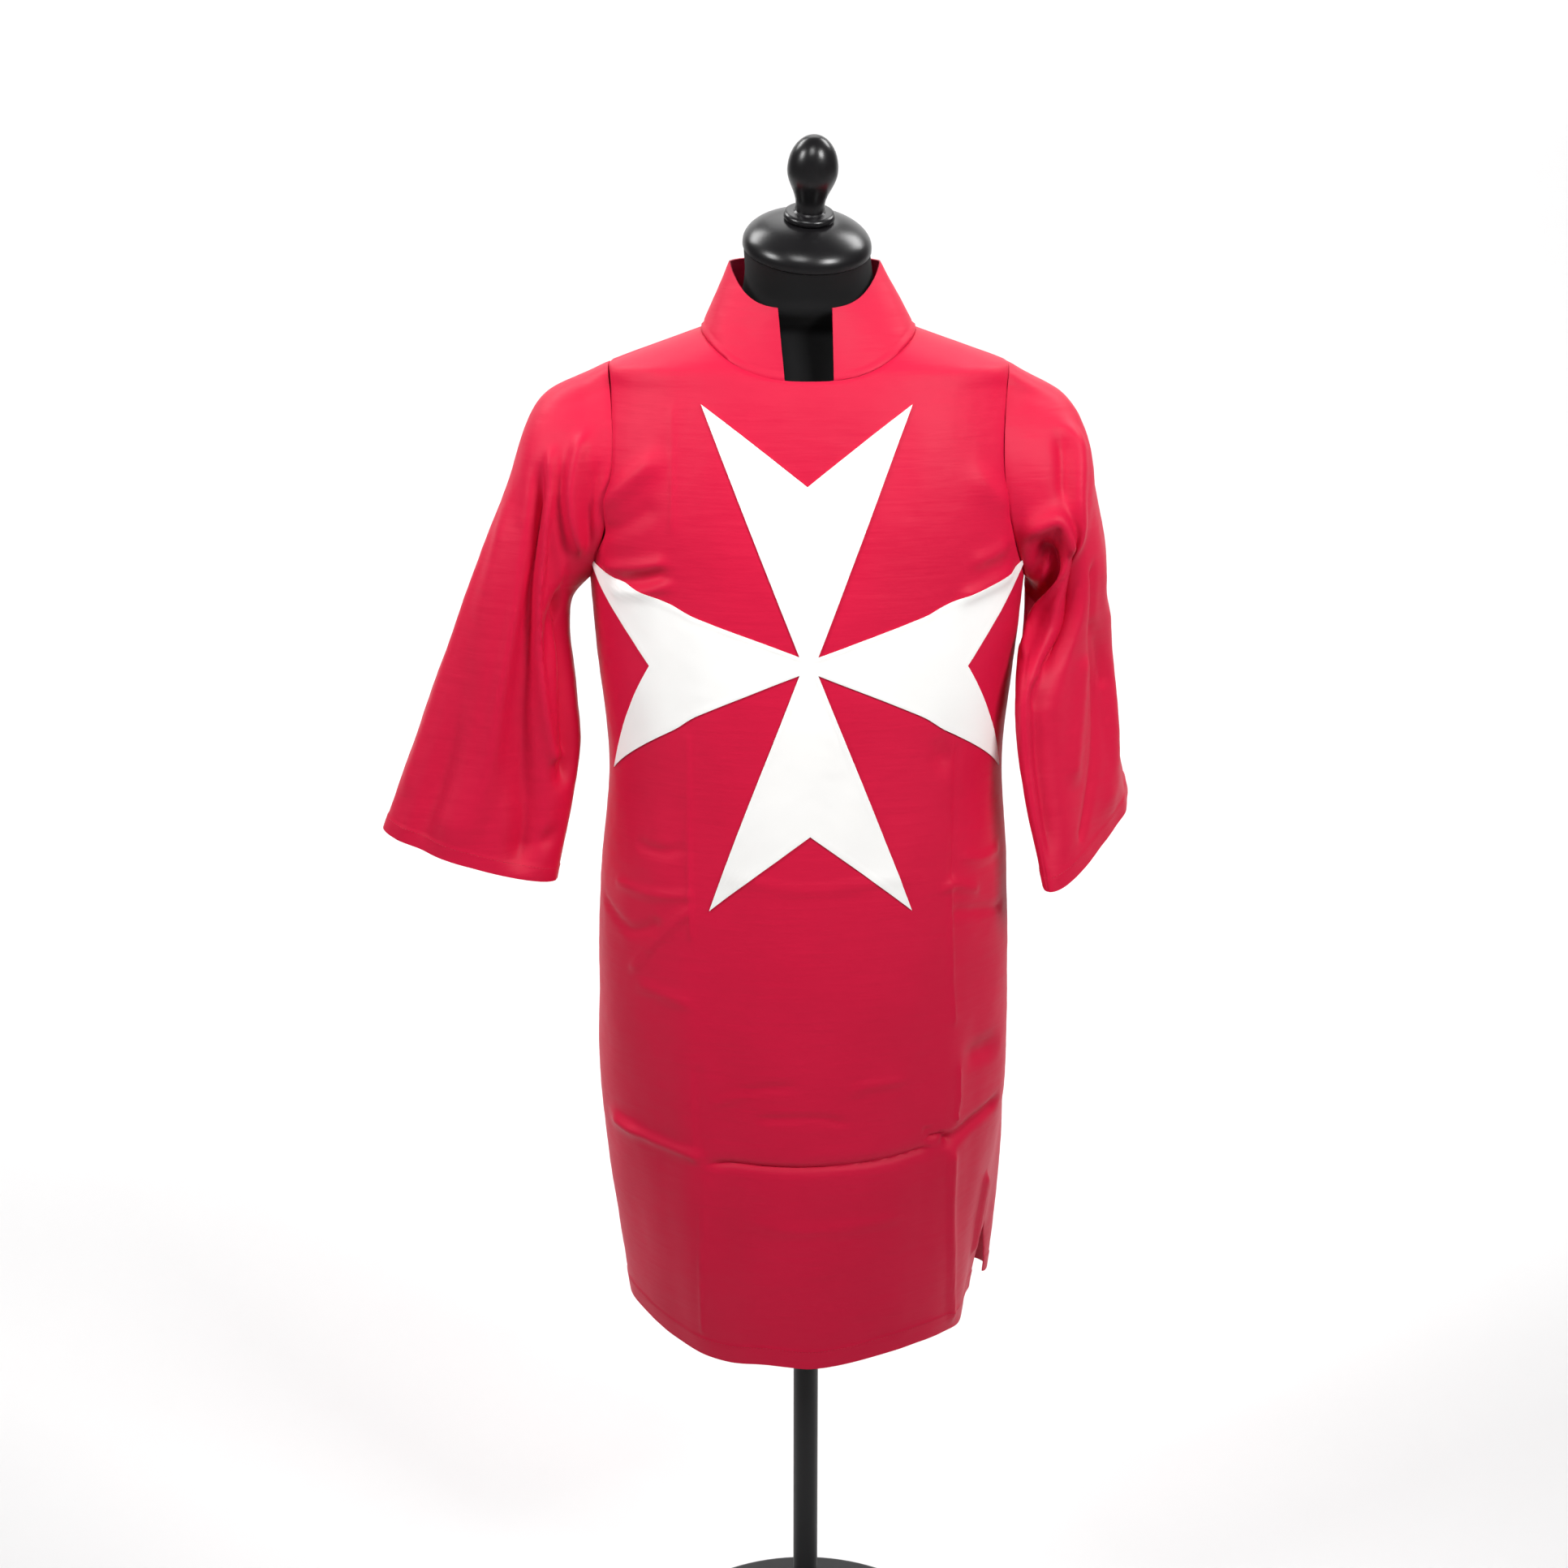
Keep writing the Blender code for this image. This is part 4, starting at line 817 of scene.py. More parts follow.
def set_panel_seams(points, out, face):
    """Draw a panel's edges back by half a seam's gap and turn them into the seams' planes."""
    beside_neck = HALF_COLUMNS - NECK_COLUMNS
    points[:, 0, 1] += face * HALF_GAP
    points[:, -1, 1] += face * HALF_GAP
    points[-1, 1 : beside_neck + 1, 1] += face * HALF_GAP
    points[-1, -beside_neck - 1 : -1, 1] += face * HALF_GAP
    for side, column in ((WEARERS_RIGHT, 0), (WEARERS_LEFT, -1)):
        _, arm_out, onward = armhole_ring(side, UPPER_ROWS)
        order = (UPPER_ROWS + face * np.arange(UPPER_ROWS + 1)) % (2 * UPPER_ROWS)
        rows = slice(LOWER_ROWS, None)
        points[rows, column] -= onward[order] * HALF_GAP
        out[rows, column] = arm_out[order]
    inner = panel_columns()[HALF_COLUMNS : HALF_COLUMNS + NECK_COLUMNS + 1]
    angles = inner / inner[-1] * math.pi / 2
    if face == BACK:
        angles = math.pi - angles
    _, neck_out, upward = neck_seam(angles)
    for step in range(NECK_COLUMNS + 1):
        for column, flip in ((HALF_COLUMNS + step, 1.0), (HALF_COLUMNS - step, -1.0)):
            turn = np.array([flip, 1.0, 1.0])
            points[-1, column] -= upward[step] * turn * HALF_GAP
            out[-1, column] = neck_out[step] * turn


def sleeve_normals(points):
    """Ways out of a tube given as rings of points."""
    around = np.roll(points, -1, axis=1) - np.roll(points, 1, axis=1)
    down = np.gradient(points, axis=0)
    out = unit(np.cross(around, down))
    inwards = points.mean(axis=1, keepdims=True) - points
    return np.where(np.sum(out * inwards) > 0, -out, out)


def sleeve_push(angles, along, folds):
    push = np.zeros(np.broadcast_shapes(angles.shape, along.shape))
    for fold in folds:
        part = np.clip((along - fold.start) / (fold.end - fold.start), 0.0, 1.0)
        middle = fold.start_angle + (fold.end_angle - fold.start_angle) * part
        away = np.clip(np.abs(angles - middle) / fold.spread, 0.0, 1.0)
        push = push + fold.depth * np.cos(away * math.pi / 2) ** 2 * np.sin(part * math.pi) ** 2
    return push


def sleeve_detail(points, angles, along, creases):
    """Creases, waves, the seam's dip and the cuff's band of a sleeve."""
    down = lengths_along(points)
    length = float(down[-1].mean())
    girth = np.linalg.norm(np.roll(points, -1, axis=1) - points, axis=-1).sum(axis=1).mean()
    a_degree = girth / 360.0
    places = np.stack(np.broadcast_arrays(angles * a_degree, along * length), axis=-1)
    push = np.zeros(places.shape[:-1])
    for crease in creases:
        line = np.array(crease.points) * np.array([a_degree, length])
        for turn in (-360.0, 0.0, 360.0):
            push += crease_push(places + np.array([turn * a_degree, 0.0]), line, crease)
    push += waves(points, BODY_WAVES)
    push *= smooth_step(down / SLEEVE_TOP_FADE)
    push -= seam_dip(down)
    push += turned_band(down[-1:] - down, CUFF_BAND)
    underarm = np.abs(angles - 180.0) * a_degree
    return push - seam_dip(underarm) * smooth_step(down / UNDERARM_SEAM_START)


def sleeve_grid(side, rings, folds, creases):
    """Middle points of a sleeve, station by station from the armhole, and the way out."""
    half = SLEEVE_AROUND // 2
    loop, arm_out, onward = armhole_ring(side, half)
    count = 2 * half
    angles = np.arange(count) * 2 * math.pi / count
    stations = [loop + onward * HALF_GAP]
    for ring in rings:
        outer, inner, front = (np.array(part) for part in ring)
        middle = (outer + inner) / 2
        around = np.cos(angles)[:, None] * (outer - middle) + np.sin(angles)[:, None] * front
        stations.append(middle + around)
    stations = np.stack(stations)
    places = lengths_along(stations.mean(axis=1))
    places /= places[-1]
    along = np.linspace(0.0, 1.0, SLEEVE_STEPS + 1)
    points = curve_through(places, stations, along)
    out = sleeve_normals(points)
    degrees = np.degrees(angles)[None, :]
    push = sleeve_push(degrees, along[:, None], folds)
    points = points + out * push[..., None]
    out = sleeve_normals(points)
    push = sleeve_detail(points, degrees, along[:, None], creases)
    points = points + out * push[..., None]
    out = sleeve_normals(points)
    out[0] = arm_out
    return points, out


def collar_grid():
    """Middle points of the collar, row by row from its seam, and the way out."""
    first = math.pi / 2 / COLLAR_COLUMNS
    angles = np.linspace(first, math.pi, COLLAR_STEPS + 1)
    base, seam_out, upward = neck_seam(angles)
    base = base + upward * HALF_GAP
    top = collar_top(angles)
    base = np.concatenate([base, mirrored(base[-2::-1])])
    top = np.concatenate([top, mirrored(top[-2::-1])])
    top[:, 0] += COLLAR_TOP_MIDDLE_X
    seam_out = np.concatenate([seam_out, mirrored(seam_out[-2::-1])])
    share = np.linspace(0.0, 1.0, COLLAR_ROWS + 1)[:, None, None]
    points = base + (top - base) * share
    out = unit(np.cross(np.gradient(points, axis=1), np.gradient(points, axis=0)))
    middle = points.mean(axis=(0, 1))
    out = np.where(np.sum(out * (points - middle)) < 0, -out, out)
    height = lengths_along(points)
    push = waves(points, BODY_WAVES[1:]) * smooth_step(height / COLLAR_WAVE_FADE)
    roll = smooth_step((ROLL_TOP - height) / ROLL_BLEND) * smooth_step(height / ROLL_START)
    push += ROLL_HEIGHT * roll
    from_stitches = (height - STITCHED_DIP_PLACE) / STITCHED_DIP_WIDTH
    push -= STITCHED_DIP * np.exp(-(from_stitches**2))
    points = points + out * push[..., None]
    out[0] = seam_out
    return points, out


def grid_faces(rows, columns, closed, start):
    """Four-sided faces over a grid of points."""
    faces = []
    for row in range(rows - 1):
        for column in range(columns if closed else columns - 1):
            after = (column + 1) % columns
            a = start + row * columns + column
            b = start + row * columns + after
            faces.append((a, b, b + columns, a + columns))
    return faces


def rim_loops(rows, columns, closed):
    low = list(range(columns))
    high = [(rows - 1) * columns + column for column in range(columns)]
    if closed:
        return [low + low[:1], high + high[:1]]
    right = [row * columns + columns - 1 for row in range(1, rows)]
    left = [row * columns for row in range(rows - 2, -1, -1)]
    return [low + right + high[-2::-1] + left]


def tidy_mesh(name, points, faces):
    mesh = bpy.data.meshes.new(name)
    mesh.from_pydata(points.tolist(), [], faces)
    shape = bmesh.new()
    shape.from_mesh(mesh)
    bmesh.ops.recalc_face_normals(shape, faces=shape.faces)
    shape.to_mesh(mesh)
    shape.free()
    return mesh


def wall_mesh(name, lower, upper, closed=False):
    """A closed wall between two grids of points, with a middle line round its rims."""
    rows, columns = lower.shape[:2]
    count = rows * columns
    points = np.concatenate([lower.reshape(-1, 3), upper.reshape(-1, 3)])
    faces = grid_faces(rows, columns, closed, count)
    faces += [face[::-1] for face in grid_faces(rows, columns, closed, 0)]
    for loop in rim_loops(rows, columns, closed):
        for first, second in zip(loop[:-1], loop[1:]):
            faces.append((first, second, second + count, first + count))
    return tidy_mesh(name, points, faces)


def add_object(name, contents):
    made = bpy.data.objects.new(name, contents)
    bpy.context.scene.collection.objects.link(made)
    return made


def add_piece(name, mesh, material):
    piece = add_object(name, mesh)
    mesh.materials.append(material)
    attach(piece, "root")
    return piece


def add_cloth(name, grid, material, closed=False):
    points, out = grid
    mesh = wall_mesh(name, points - out * WALL / 2, points + out * WALL / 2, closed)
    mesh.shade_smooth()
    mesh.set_sharp_from_angle(angle=CLOTH_EDGE_ANGLE)
    return add_piece(name, mesh, material)


def stitch_row(line, out, lift):
    """Places, ways along and ways out of stitches spaced evenly along a line of points."""
    lengths = lengths_along(line)
    count = int(lengths[-1] / STITCH_SPACING)
    at = (np.arange(count) + 0.5) * lengths[-1] / count
    ahead = read_along(at + STITCH_LOOK, lengths, line)
    before = read_along(at - STITCH_LOOK, lengths, line)
    normal = unit(read_along(at, lengths, out))
    return read_along(at, lengths, line) + normal * lift, unit(ahead - before), normal


def stitch_mesh(name, place, way, normal):
    """Small lozenge-shaped threads, one for each stitch."""
    points = []
    faces = []
    aside = unit(np.cross(way, normal))
    for centre, along, up, beside in zip(place, way, normal, aside):
        start = len(points)
        points.append(centre - along * STITCH_LENGTH / 2)
        for share in (-STITCH_SHOULDER, STITCH_SHOULDER):
            for across, high in ((-1.0, 0.0), (0.0, 1.0), (1.0, 0.0), (0.0, -1.0)):
                point = centre + along * STITCH_LENGTH * share
                point = point + beside * across * STITCH_RADIUS + up * high * STITCH_RADIUS
                points.append(point)
        points.append(centre + along * STITCH_LENGTH / 2)
        for step in range(4):
            near, near_after = start + 1 + step, start + 1 + (step + 1) % 4
            far, far_after = near + 4, near_after + 4
            faces.append((start, near_after, near))
            faces.append((near, near_after, far_after, far))
            faces.append((start + 9, far, far_after))
    mesh = tidy_mesh(name, np.array(points), faces)
    mesh.shade_smooth()
    return mesh


def quarter_turned(across, up, turns):
    """A point of the flat cross, moved clockwise to another of its arms."""
    angle = -turns * math.pi / 2
    x = across * math.cos(angle) - up * math.sin(angle)
    y = across * math.sin(angle) + up * math.cos(angle)
    return x, y


def cross_corners():
    """The cross's corners as it lies flat, from its middle, across and up."""
    arm = (
        (-CROSS_NECK, CROSS_NECK),
        (-CROSS_TIP_HALF_WIDTH, CROSS_REACH),
        (0.0, CROSS_NOTCH),
        (CROSS_TIP_HALF_WIDTH, CROSS_REACH),
    )
    return [quarter_turned(across, up, turns) for turns in range(4) for across, up in arm]


def wrap_on_chest(flat):
    """x and z on the front for a point of the flat cross, as on the solid."""
    across, up = flat
    arc = across * (1.0 + up * (CROSS_TAPER + CROSS_SPREAD * across * across))
    drawn = (abs(across) - CROSS_DRAW_FROM) / (CROSS_DRAW_TO - CROSS_DRAW_FROM)
    arc -= math.copysign(CROSS_DRAW, across) * smooth_step(drawn)
    beyond = max(across * across - up * up, 0.0)
    flare = CROSS_UPPER_FLARE * beyond * beyond if up > 0 else CROSS_FLARE * math.sqrt(beyond)
    z = CROSS_CENTRE_Z + up * (1.0 + flare) - CROSS_DROOP * arc * arc / 2
    arc += CROSS_LEAN * up
    x = np.sin(np.linspace(-math.pi / 2, math.pi / 2, WRAP_STEPS)) * half_width(np.array(z))
    points, _ = body_cloth(x, np.full_like(x, z), FRONT)
    lengths = lengths_along(points)
    middle = np.interp(0.0, points[:, 0], lengths)
    return float(np.interp(middle + arc, lengths, points[:, 0])), z


def front_surface(x, z, arcs):
    """Points of the creased front and the way out there, for any x from its middle and z."""
    points, out = body_cloth(x, z, FRONT)
    push = body_detail(points, x, z, FRONT, arcs)
    return points + out * push[..., None], out


def cross_points():
    """The flat cross as four fans of rows, and each point's distance from the cross's edge."""
    outward = np.linspace(0.0, 1.0, CROSS_ROWS + 1)
    across = np.linspace(-1.0, 1.0, 2 * CROSS_COLUMNS + 1)
    flat = []
    faces = []
    for turns in range(4):
        faces += grid_faces(CROSS_ROWS + 1, len(across), False, len(flat))
        for share in outward:
            centre = np.array([0.0, CROSS_NOTCH * share])
            edge_x = CROSS_NECK + (CROSS_TIP_HALF_WIDTH - CROSS_NECK) * share
            edge_z = CROSS_NECK + (CROSS_REACH - CROSS_NECK) * share
            for place in across:
                edge = np.array([math.copysign(edge_x, place), edge_z])
                flat.append(quarter_turned(*(centre + abs(place) * (edge - centre)), turns))
    flat = np.array(flat)
    corners = cross_corners()
    return flat, faces, line_away(flat, np.array(corners + corners[:1]))[0]


def make_cross_cloth(arcs, material):
    """White cross: a thin cloth sewn down on the creased front, a little fuller at its edge."""
    flat, faces, inside = cross_points()
    placed = np.array([wrap_on_chest(point) for point in flat])
    from_middle = placed[:, 0] - body_column("middle", placed[:, 1])
    points, out = front_surface(from_middle, placed[:, 1], arcs)
    puff = CROSS_PUFF * np.exp(-(((inside - CROSS_PUFF_INSET) / CROSS_PUFF_WIDTH) ** 2))
    lower = points + out * (WALL / 2 + CROSS_CLEAR)
    upper = points + out * (WALL / 2 + CROSS_CLEAR + CROSS_LIFT + puff)[:, None]
    shape = bmesh.new()
    sheets = []
    for layer in (lower, upper):
        corners = [shape.verts.new(point) for point in layer]
        sheets.append(corners)
    for corners, turned_over in zip(sheets, (True, False)):
        for face in faces:
            order = face[::-1] if turned_over else face
            shape.faces.new([corners[number] for number in order])
    bmesh.ops.remove_doubles(shape, verts=shape.verts, dist=MERGE_DISTANCE)
    rim = [edge for edge in shape.edges if edge.is_boundary]
    bmesh.ops.bridge_loops(shape, edges=rim)
    bmesh.ops.recalc_face_normals(shape, faces=shape.faces)
    mesh = bpy.data.meshes.new("cross_cloth")
    shape.to_mesh(mesh)
    shape.free()
    mesh.shade_smooth()
    mesh.set_sharp_from_angle(angle=CLOTH_EDGE_ANGLE)
    return add_piece("cross_cloth", mesh, material)


def edge_line(points, out, distance):
    """A line at a distance from a grid's first row, and the way out along it."""
    lengths = lengths_along(points)
    columns = range(points.shape[1])
    line = [read_along(distance, lengths[:, column], points[:, column]) for column in columns]
    way = [read_along(distance, lengths[:, column], out[:, column]) for column in columns]
    return np.array(line), unit(np.array(way))


def make_stitches(name, grid, distance, closed, material):
    line, way = edge_line(grid[0], grid[1], distance)
    if closed:
        line = np.concatenate([line, line[:1]])
        way = np.concatenate([way, way[:1]])
    row = stitch_row(line, way, WALL / 2 + STITCH_RADIUS * STITCH_SINK)
    return add_piece(name, stitch_mesh(name, *row), material)


def leaning_place(height):
    """Where a piece stands on the leaning neck, at a height along its axis."""
    lean = Matrix.Rotation(NECK_SIDE_LEAN, 4, "Y") @ Matrix.Rotation(NECK_LEAN, 4, "X")
    lift = lean @ Vector((0.0, 0.0, height))
    return Matrix.Translation(NECK_TOP + lift) @ lean


def make_form(material):
    """Torso and neck of the dress form, a smooth loft through its sections."""
    angles = np.arange(FORM_SIDES) * 2 * math.pi / FORM_SIDES
    rings = []
    for ring in FORM:
        reach = np.where(np.cos(angles) > 0, ring.side - ring.front, ring.back - ring.side)
        away = -np.cos(angles) * reach
        tilt = math.radians(ring.tilt)
        x = ring.half_width * np.sin(angles)
        y = ring.side + away * math.cos(tilt)
        z = ring.height + away * math.sin(tilt)
        rings.append(np.stack([x, y, z], axis=-1))
    place = leaning_place(0.0)
    around = NECK_TOP_RADIUS * np.stack([np.sin(angles), -np.cos(angles), 0.0 * angles], axis=-1)
    rings.append(np.array([place @ Vector(point) for point in around]))
    rings = np.stack(rings)
    places = [ring.height for ring in FORM] + [NECK_TOP.z]
    at = []
    for low, high in zip(places[:-1], places[1:]):
        at += list(np.linspace(low, high, FORM_STEPS, endpoint=False))
    smooth = curve_through(places, rings, np.array(at + [places[-1]]))
    rows = len(smooth)
    faces = grid_faces(rows, FORM_SIDES, True, 0)
    bottom = tuple(range(FORM_SIDES))
    faces += [bottom[::-1], tuple((rows - 1) * FORM_SIDES + number for number in bottom)]
    mesh = tidy_mesh("form_cover", smooth.reshape(-1, 3), faces)
    mesh.shade_smooth()
    mesh.set_sharp_from_angle(angle=FORM_EDGE_ANGLE)
    form = add_piece("form_cover", mesh, material)
    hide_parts("form_torso")
    return form


def turned_piece(name, profile, material, node, place=None):
    """A turned piece: a profile of radius and height, top to bottom, swept round its axis."""
    angles = np.arange(TURNED_STEPS) * 2 * math.pi / TURNED_STEPS
    rings = []
    for radius, height in profile:
        level = np.full_like(angles, height)
        rings.append(np.stack([radius * np.cos(angles), radius * np.sin(angles), level], axis=-1))
    points = np.stack(rings).reshape(-1, 3)
    if place is not None:
        points = np.array([place @ Vector(point) for point in points])
    mesh = tidy_mesh(name, points, grid_faces(len(profile), TURNED_STEPS, True, 0))
    shape = bmesh.new()
    shape.from_mesh(mesh)
    bmesh.ops.remove_doubles(shape, verts=shape.verts, dist=MERGE_DISTANCE)
    shape.to_mesh(mesh)
    shape.free()
    mesh.shade_smooth()
    mesh.set_sharp_from_angle(angle=TURNED_EDGE_ANGLE)
    piece = add_piece(name, mesh, material)
    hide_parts(node)
    return piece


def cap_seat_height():
    share = math.sqrt(1.0 - (CAP_SEAT / CAP_RIM) ** 2)
    return CAP_RIM_HEIGHT + CAP_DOME * share


def make_neck_cap(material):
    seat = math.acos(CAP_SEAT / CAP_RIM)
    profile = [(0.0, cap_seat_height())]
    for step in range(CAP_STEPS + 1):
        angle = seat * (1.0 - step / CAP_STEPS)
        profile.append((CAP_RIM * math.cos(angle), CAP_RIM_HEIGHT + CAP_DOME * math.sin(angle)))
    profile += [(CAP_RIM, SMALL_BEVEL), (CAP_RIM - SMALL_BEVEL, 0.0), (0.0, 0.0)]
    place = leaning_place(SEAM_GAP)
    return turned_piece("neck_cap_turned", profile, material, "neck_cap", place)


def make_finial(material):
    profile = []
    for step in range(EGG_STEPS + 1):
        angle = math.pi / 2 * step / EGG_STEPS
        height = FINIAL_EGG_MIDDLE + (FINIAL_HEIGHT - FINIAL_EGG_MIDDLE) * math.cos(angle)
        profile.append((FINIAL_EGG * math.sin(angle), height))
    for step in range(1, EGG_STEPS + 1):
        share = step / EGG_STEPS
        height = FINIAL_EGG_MIDDLE + (FINIAL_NECK_HEIGHT - FINIAL_EGG_MIDDLE) * share
        narrowing = (1.0 - math.cos(math.pi * share)) / 2
        profile.append((FINIAL_EGG + (FINIAL_NECK - FINIAL_EGG) * narrowing, height))
    ring_top = FINIAL_RING_HEIGHT
    profile += [(FINIAL_NECK, ring_top + SMALL_BEVEL), (FINIAL_NECK + SMALL_BEVEL, ring_top)]
    for step in range(RING_STEPS + 1):
        angle = math.pi / 2 - math.pi * step / RING_STEPS
        radius = FINIAL_RING - ring_top / 2 * (1.0 - math.cos(angle))
        profile.append((radius, ring_top / 2 * (1.0 + math.sin(angle))))
    profile.append((0.0, 0.0))
    place = leaning_place(cap_seat_height() + 2 * SEAM_GAP)
    return turned_piece("finial_turned", profile, material, "finial", place)


def make_stand(material):
    base = [(0.0, BASE_HEIGHT)]
    for step in range(BASE_EDGE_STEPS + 1):
        angle = math.pi / 2 * (1.0 - step / BASE_EDGE_STEPS)
        radius = BASE_RADIUS + BASE_EDGE * (math.cos(angle) - 1.0)
        base.append((radius, BASE_HEIGHT + BASE_EDGE * (math.sin(angle) - 1.0)))
    base += [(BASE_RADIUS, SMALL_BEVEL), (BASE_RADIUS - SMALL_BEVEL, 0.0), (0.0, 0.0)]
    low = BASE_HEIGHT + SEAM_GAP
    high = FORM[0].height - SEAM_GAP
    pole = [(0.0, high), (POLE_RADIUS, high), (POLE_RADIUS, low), (0.0, low)]
    return [
        turned_piece("base_turned", base, material, "stand_base"),
        turned_piece("pole_turned", pole, material, "stand_pole"),
    ]


def new_material(name, colour, roughness):
    material = bpy.data.materials.new(name)
    material.use_nodes = True
    shader = material.node_tree.nodes["Principled BSDF"]
    shader.inputs["Base Color"].default_value = (*colour, 1.0)
    shader.inputs["Roughness"].default_value = roughness
    return material, material.node_tree, shader


def mix_colours(tree, shader, colours, scale, detail):
    """Base colour that drifts a little between two colours over the piece."""
    place = tree.nodes.new("ShaderNodeTexCoord")
    drift = tree.nodes.new("ShaderNodeTexNoise")
    drift.inputs["Scale"].default_value = scale
    drift.inputs["Detail"].default_value = detail
    mix = tree.nodes.new("ShaderNodeMix")
    mix.data_type = "RGBA"
    mix.inputs["A"].default_value = (*colours[0], 1.0)
    mix.inputs["B"].default_value = (*colours[1], 1.0)
    tree.links.new(place.outputs["Object"], drift.inputs["Vector"])
    tree.links.new(drift.outputs["Fac"], mix.inputs["Factor"])
    tree.links.new(mix.outputs["Result"], shader.inputs["Base Color"])
    return place


def weave_bump(tree, shader, place, scale, strength, distance):
    """Twill ribs, from two fine bands of waves that cross."""
    bands = []
    for direction in ("X", "Z"):
        wave = tree.nodes.new("ShaderNodeTexWave")
        wave.bands_direction = direction
        wave.inputs["Scale"].default_value = scale
        wave.inputs["Distortion"].default_value = 1.2
        wave.inputs["Detail"].default_value = 1.0
        tree.links.new(place.outputs["Object"], wave.inputs["Vector"])
        bands.append(wave)
    total = tree.nodes.new("ShaderNodeMath")
    total.operation = "ADD"
    tree.links.new(bands[0].outputs["Fac"], total.inputs[0])
    tree.links.new(bands[1].outputs["Fac"], total.inputs[1])
    bump = tree.nodes.new("ShaderNodeBump")
    bump.inputs["Strength"].default_value = strength
    bump.inputs["Distance"].default_value = distance
    tree.links.new(total.outputs["Value"], bump.inputs["Height"])
    tree.links.new(bump.outputs["Normal"], shader.inputs["Normal"])


def soft_bump(tree, shader, place, stretch, strength, distance):
    """Fine uneven lines of the surface, drawn out by different scales along x, y and z."""
    mapping = tree.nodes.new("ShaderNodeMapping")
    mapping.inputs["Scale"].default_value = stretch
    grain = tree.nodes.new("ShaderNodeTexNoise")
    grain.inputs["Scale"].default_value = 1.0
    grain.inputs["Detail"].default_value = 3.0
    bump = tree.nodes.new("ShaderNodeBump")
    bump.inputs["Strength"].default_value = strength
    bump.inputs["Distance"].default_value = distance
    tree.links.new(place.outputs["Object"], mapping.inputs["Vector"])
    tree.links.new(mapping.outputs["Vector"], grain.inputs["Vector"])
    tree.links.new(grain.outputs["Fac"], bump.inputs["Height"])
    earlier = shader.inputs["Normal"].links
    if earlier:
        tree.links.new(earlier[0].from_socket, bump.inputs["Normal"])
    tree.links.new(bump.outputs["Normal"], shader.inputs["Normal"])


def red_cloth_material():
    material, tree, shader = new_material("red twill cloth", RED, roughness=0.52)
    shader.inputs["Sheen Weight"].default_value = 0.05
    shader.inputs["Sheen Roughness"].default_value = 0.45
    shader.inputs["Sheen Tint"].default_value = RED_SHEEN
    shader.inputs["Specular IOR Level"].default_value = 0.20
    place = mix_colours(tree, shader, (RED, RED_DEEP), scale=9.0, detail=3.0)
    weave_bump(tree, shader, place, scale=420.0, strength=0.15, distance=0.0002)
    soft_bump(tree, shader, place, (16.0, 16.0, 150.0), strength=0.30, distance=0.0016)
    return material


def white_cloth_material():
    material, tree, shader = new_material("white plain-weave cloth", WHITE, roughness=0.75)
    shader.inputs["Sheen Weight"].default_value = 0.10
    place = mix_colours(tree, shader, (WHITE, WHITE_DULL), scale=14.0, detail=2.0)
    weave_bump(tree, shader, place, scale=480.0, strength=0.15, distance=0.0002)
    return material


def thread_material():
    material, tree, shader = new_material("red thread", THREAD_RED, roughness=0.45)
    mix_colours(tree, shader, (THREAD_RED, RED_DEEP), scale=60.0, detail=1.0)
    return material


def form_cloth_material():
    material, tree, shader = new_material("black knit cover", FORM_BLACK, roughness=0.85)
    shader.inputs["Sheen Weight"].default_value = 0.05
    shader.inputs["Specular IOR Level"].default_value = 0.20
    place = mix_colours(tree, shader, (FORM_BLACK, FORM_BLACK_WORN), scale=20.0, detail=3.0)
    weave_bump(tree, shader, place, scale=380.0, strength=0.25, distance=0.0003)
    return material


def wood_material():
    material, tree, shader = new_material("black lacquered wood", WOOD_BLACK, roughness=0.28)
    shader.inputs["Specular IOR Level"].default_value = 0.40
    place = mix_colours(tree, shader, (WOOD_BLACK, WOOD_BLACK_WORN), scale=40.0, detail=5.0)
    soft_bump(tree, shader, place, (40.0, 40.0, 300.0), strength=0.12, distance=0.0004)
    return material


def metal_material():
    material, tree, shader = new_material("black painted metal", METAL_BLACK, roughness=0.45)
    shader.inputs["Specular IOR Level"].default_value = 0.30
    mix_colours(tree, shader, (METAL_BLACK, METAL_BLACK_WORN), scale=25.0, detail=3.0)
    return material


def floor_material():
    material, tree, shader = new_material("pale floor", FLOOR_PALE, roughness=0.9)
    mix_colours(tree, shader, (FLOOR_PALE, FLOOR_PALE_DULL), scale=1.5, detail=2.0)
    return material


def make_floor(material):
    """Floor that bends up into a backdrop behind the piece."""
    profile = [(-FLOOR_HALF, 0.0)]
    for step in range(BACKDROP_STEPS + 1):
        angle = math.pi / 2 * step / BACKDROP_STEPS
        y = BACKDROP_Y + BACKDROP_BEND * math.sin(angle)
        profile.append((y, BACKDROP_BEND * (1.0 - math.cos(angle))))
    profile.append((BACKDROP_Y + BACKDROP_BEND, BACKDROP_TOP))
    points = []
    for y, z in profile:
        points += [(-FLOOR_HALF, y, z), (FLOOR_HALF, y, z)]
    mesh = tidy_mesh("floor", np.array(points), grid_faces(len(profile), 2, False, 0))
    mesh.shade_smooth()
    mesh.materials.append(material)
    add_object("floor", mesh)


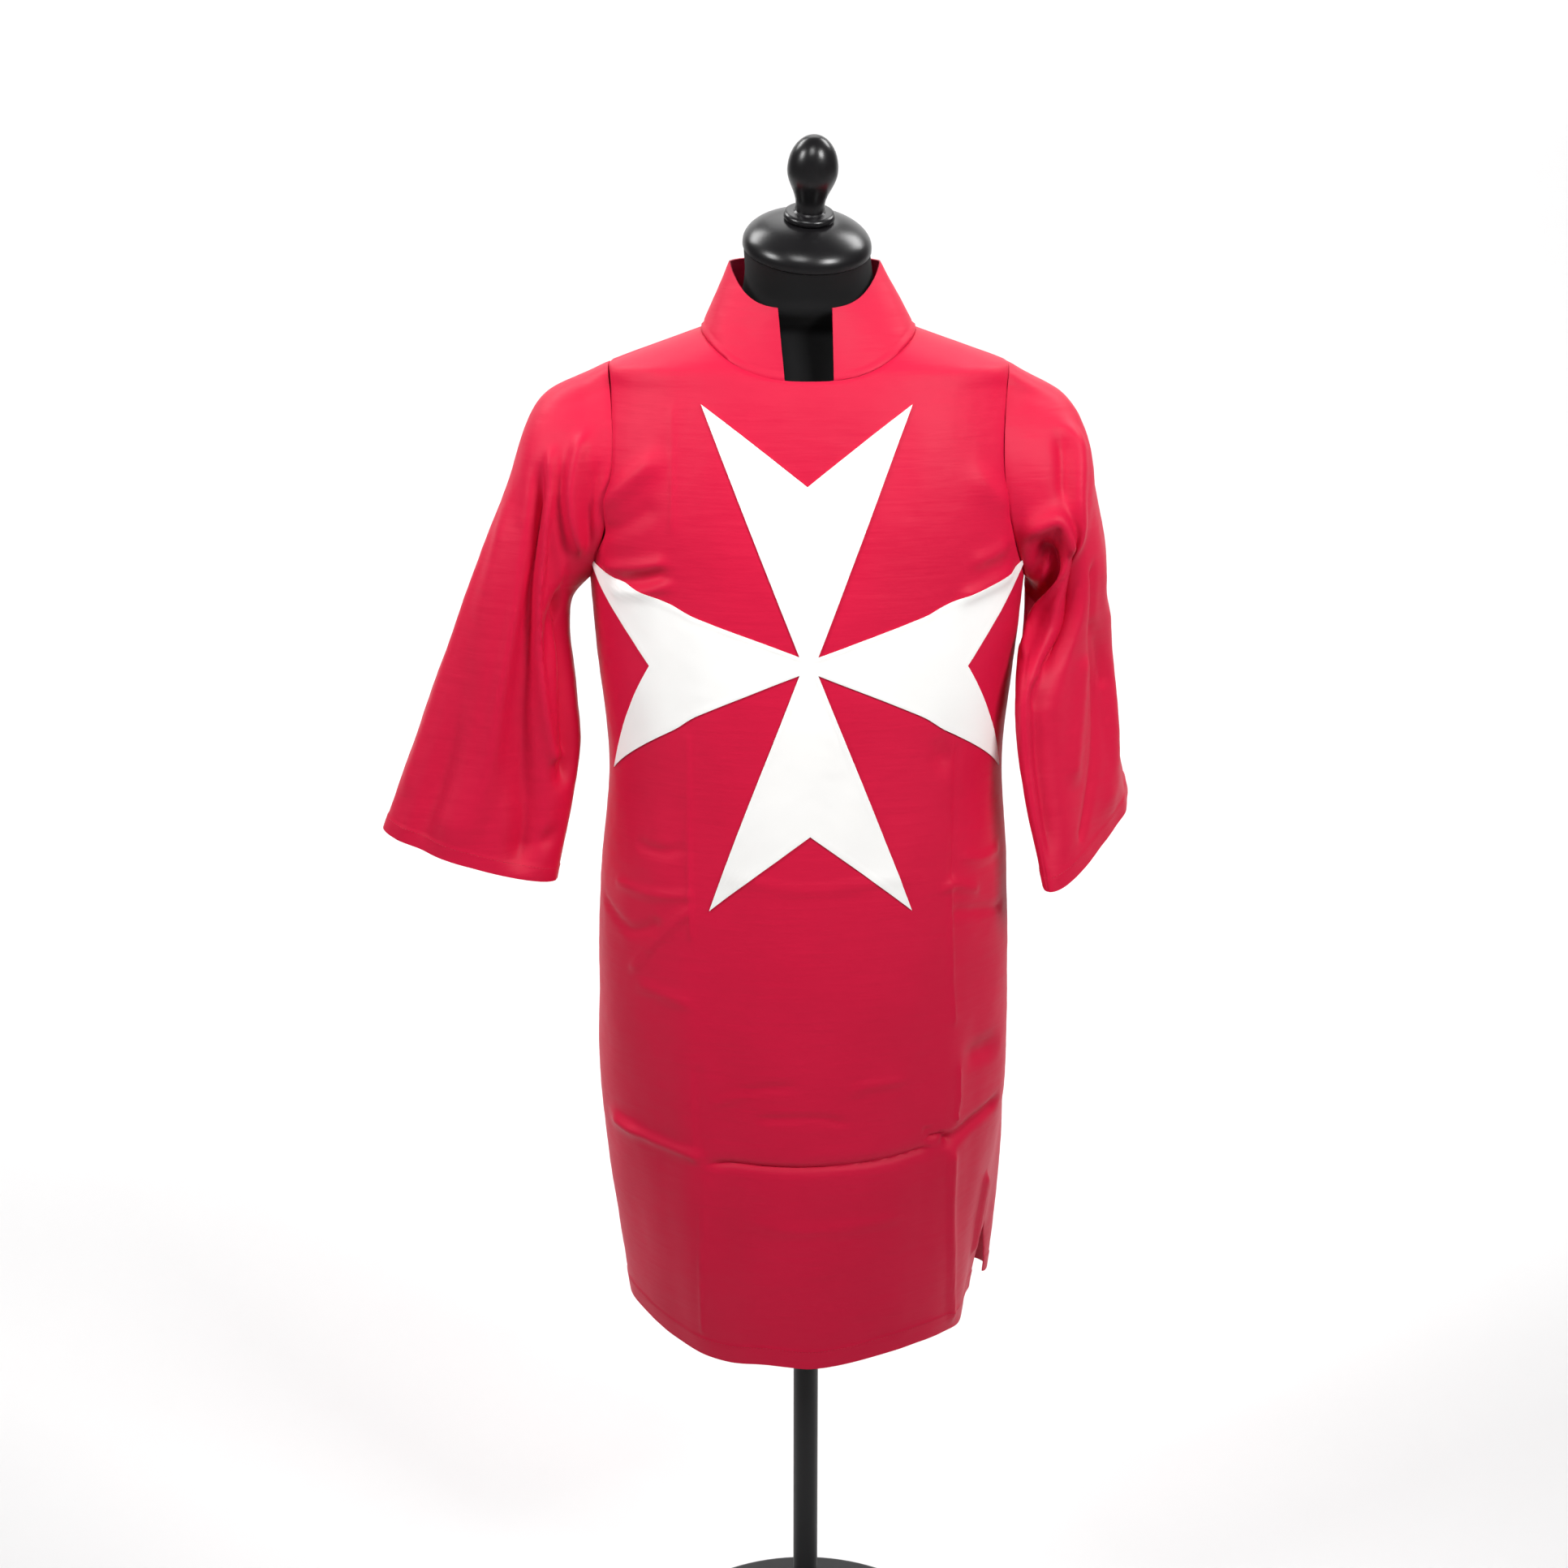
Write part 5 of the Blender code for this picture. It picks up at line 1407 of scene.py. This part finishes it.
def make_light():
    for light in LIGHTS:
        lamp = bpy.data.lights.new(light.name, "AREA")
        lamp.shape = "SQUARE"
        lamp.size = light.side
        lamp.energy = light.power
        lamp.spread = light.spread
        holder = add_object(light.name, lamp)
        holder.location = light.place
        towards = Vector(light.target) - Vector(light.place)
        holder.rotation_euler = towards.to_track_quat("-Z", "Y").to_euler()
    world = bpy.data.worlds.new("studio")
    world.use_nodes = True
    background = world.node_tree.nodes["Background"]
    background.inputs["Color"].default_value = (1.0, 1.0, 1.0, 1.0)
    background.inputs["Strength"].default_value = WORLD_STRENGTH
    bpy.context.scene.world = world


def make_camera():
    camera = bpy.data.cameras.new("camera")
    camera.lens = LENS_MM
    camera.sensor_width = SENSOR_MM
    eye = add_object("camera", camera)
    eye.location = EYE
    eye.rotation_euler = (math.pi / 2 - EYE_PITCH, 0.0, 0.0)
    bpy.context.scene.camera = eye
    bpy.context.scene.view_settings.view_transform = "Standard"


def declare_sheet(piece, grid, node, closed=False):
    """Hide the solid that a piece of cloth stands in for."""
    points = grid[0]
    if closed:
        points = np.concatenate([points, points[:, :1]], axis=1)
    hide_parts(node)


def main():
    make_camera()
    make_light()
    make_floor(floor_material())
    red = red_cloth_material()
    thread = thread_material()
    make_form(form_cloth_material())
    wood = wood_material()
    make_neck_cap(wood)
    make_finial(wood)
    make_stand(metal_material())
    arcs = {face: ArcTable(face) for face in (FRONT, BACK)}
    front = panel_grid(FRONT, arcs[FRONT])
    back = panel_grid(BACK, arcs[BACK])
    right = sleeve_grid(WEARERS_RIGHT, RIGHT_SLEEVE, RIGHT_SLEEVE_FOLDS, RIGHT_SLEEVE_CREASES)
    left = sleeve_grid(WEARERS_LEFT, LEFT_SLEEVE, LEFT_SLEEVE_FOLDS, LEFT_SLEEVE_CREASES)
    collar = collar_grid()
    declare_sheet(add_cloth("front_cloth", front, red), front, "tunic_front")
    declare_sheet(add_cloth("back_cloth", back, red), back, "tunic_back")
    declare_sheet(add_cloth("right_sleeve_cloth", right, red, closed=True), right, "sleeve_right", True)
    declare_sheet(add_cloth("left_sleeve_cloth", left, red, closed=True), left, "sleeve_left", True)
    declare_sheet(add_cloth("collar_cloth", collar, red), collar, "collar")
    cross = make_cross_cloth(arcs[FRONT], white_cloth_material())
    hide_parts("cross")
    inside = slice(STITCH_END_COLUMNS, -STITCH_END_COLUMNS)
    for name, grid in (("front", front), ("back", back)):
        shown = [part[:, inside] for part in grid]
        make_stitches(name + "_hem_stitches", shown, HEM_BAND - STITCH_INSET, False, thread)
    for name, grid in (("right", right), ("left", left)):
        from_cuff = [part[::-1] for part in grid]
        make_stitches(name + "_cuff_stitches", from_cuff, CUFF_BAND - STITCH_INSET, True, thread)


main()
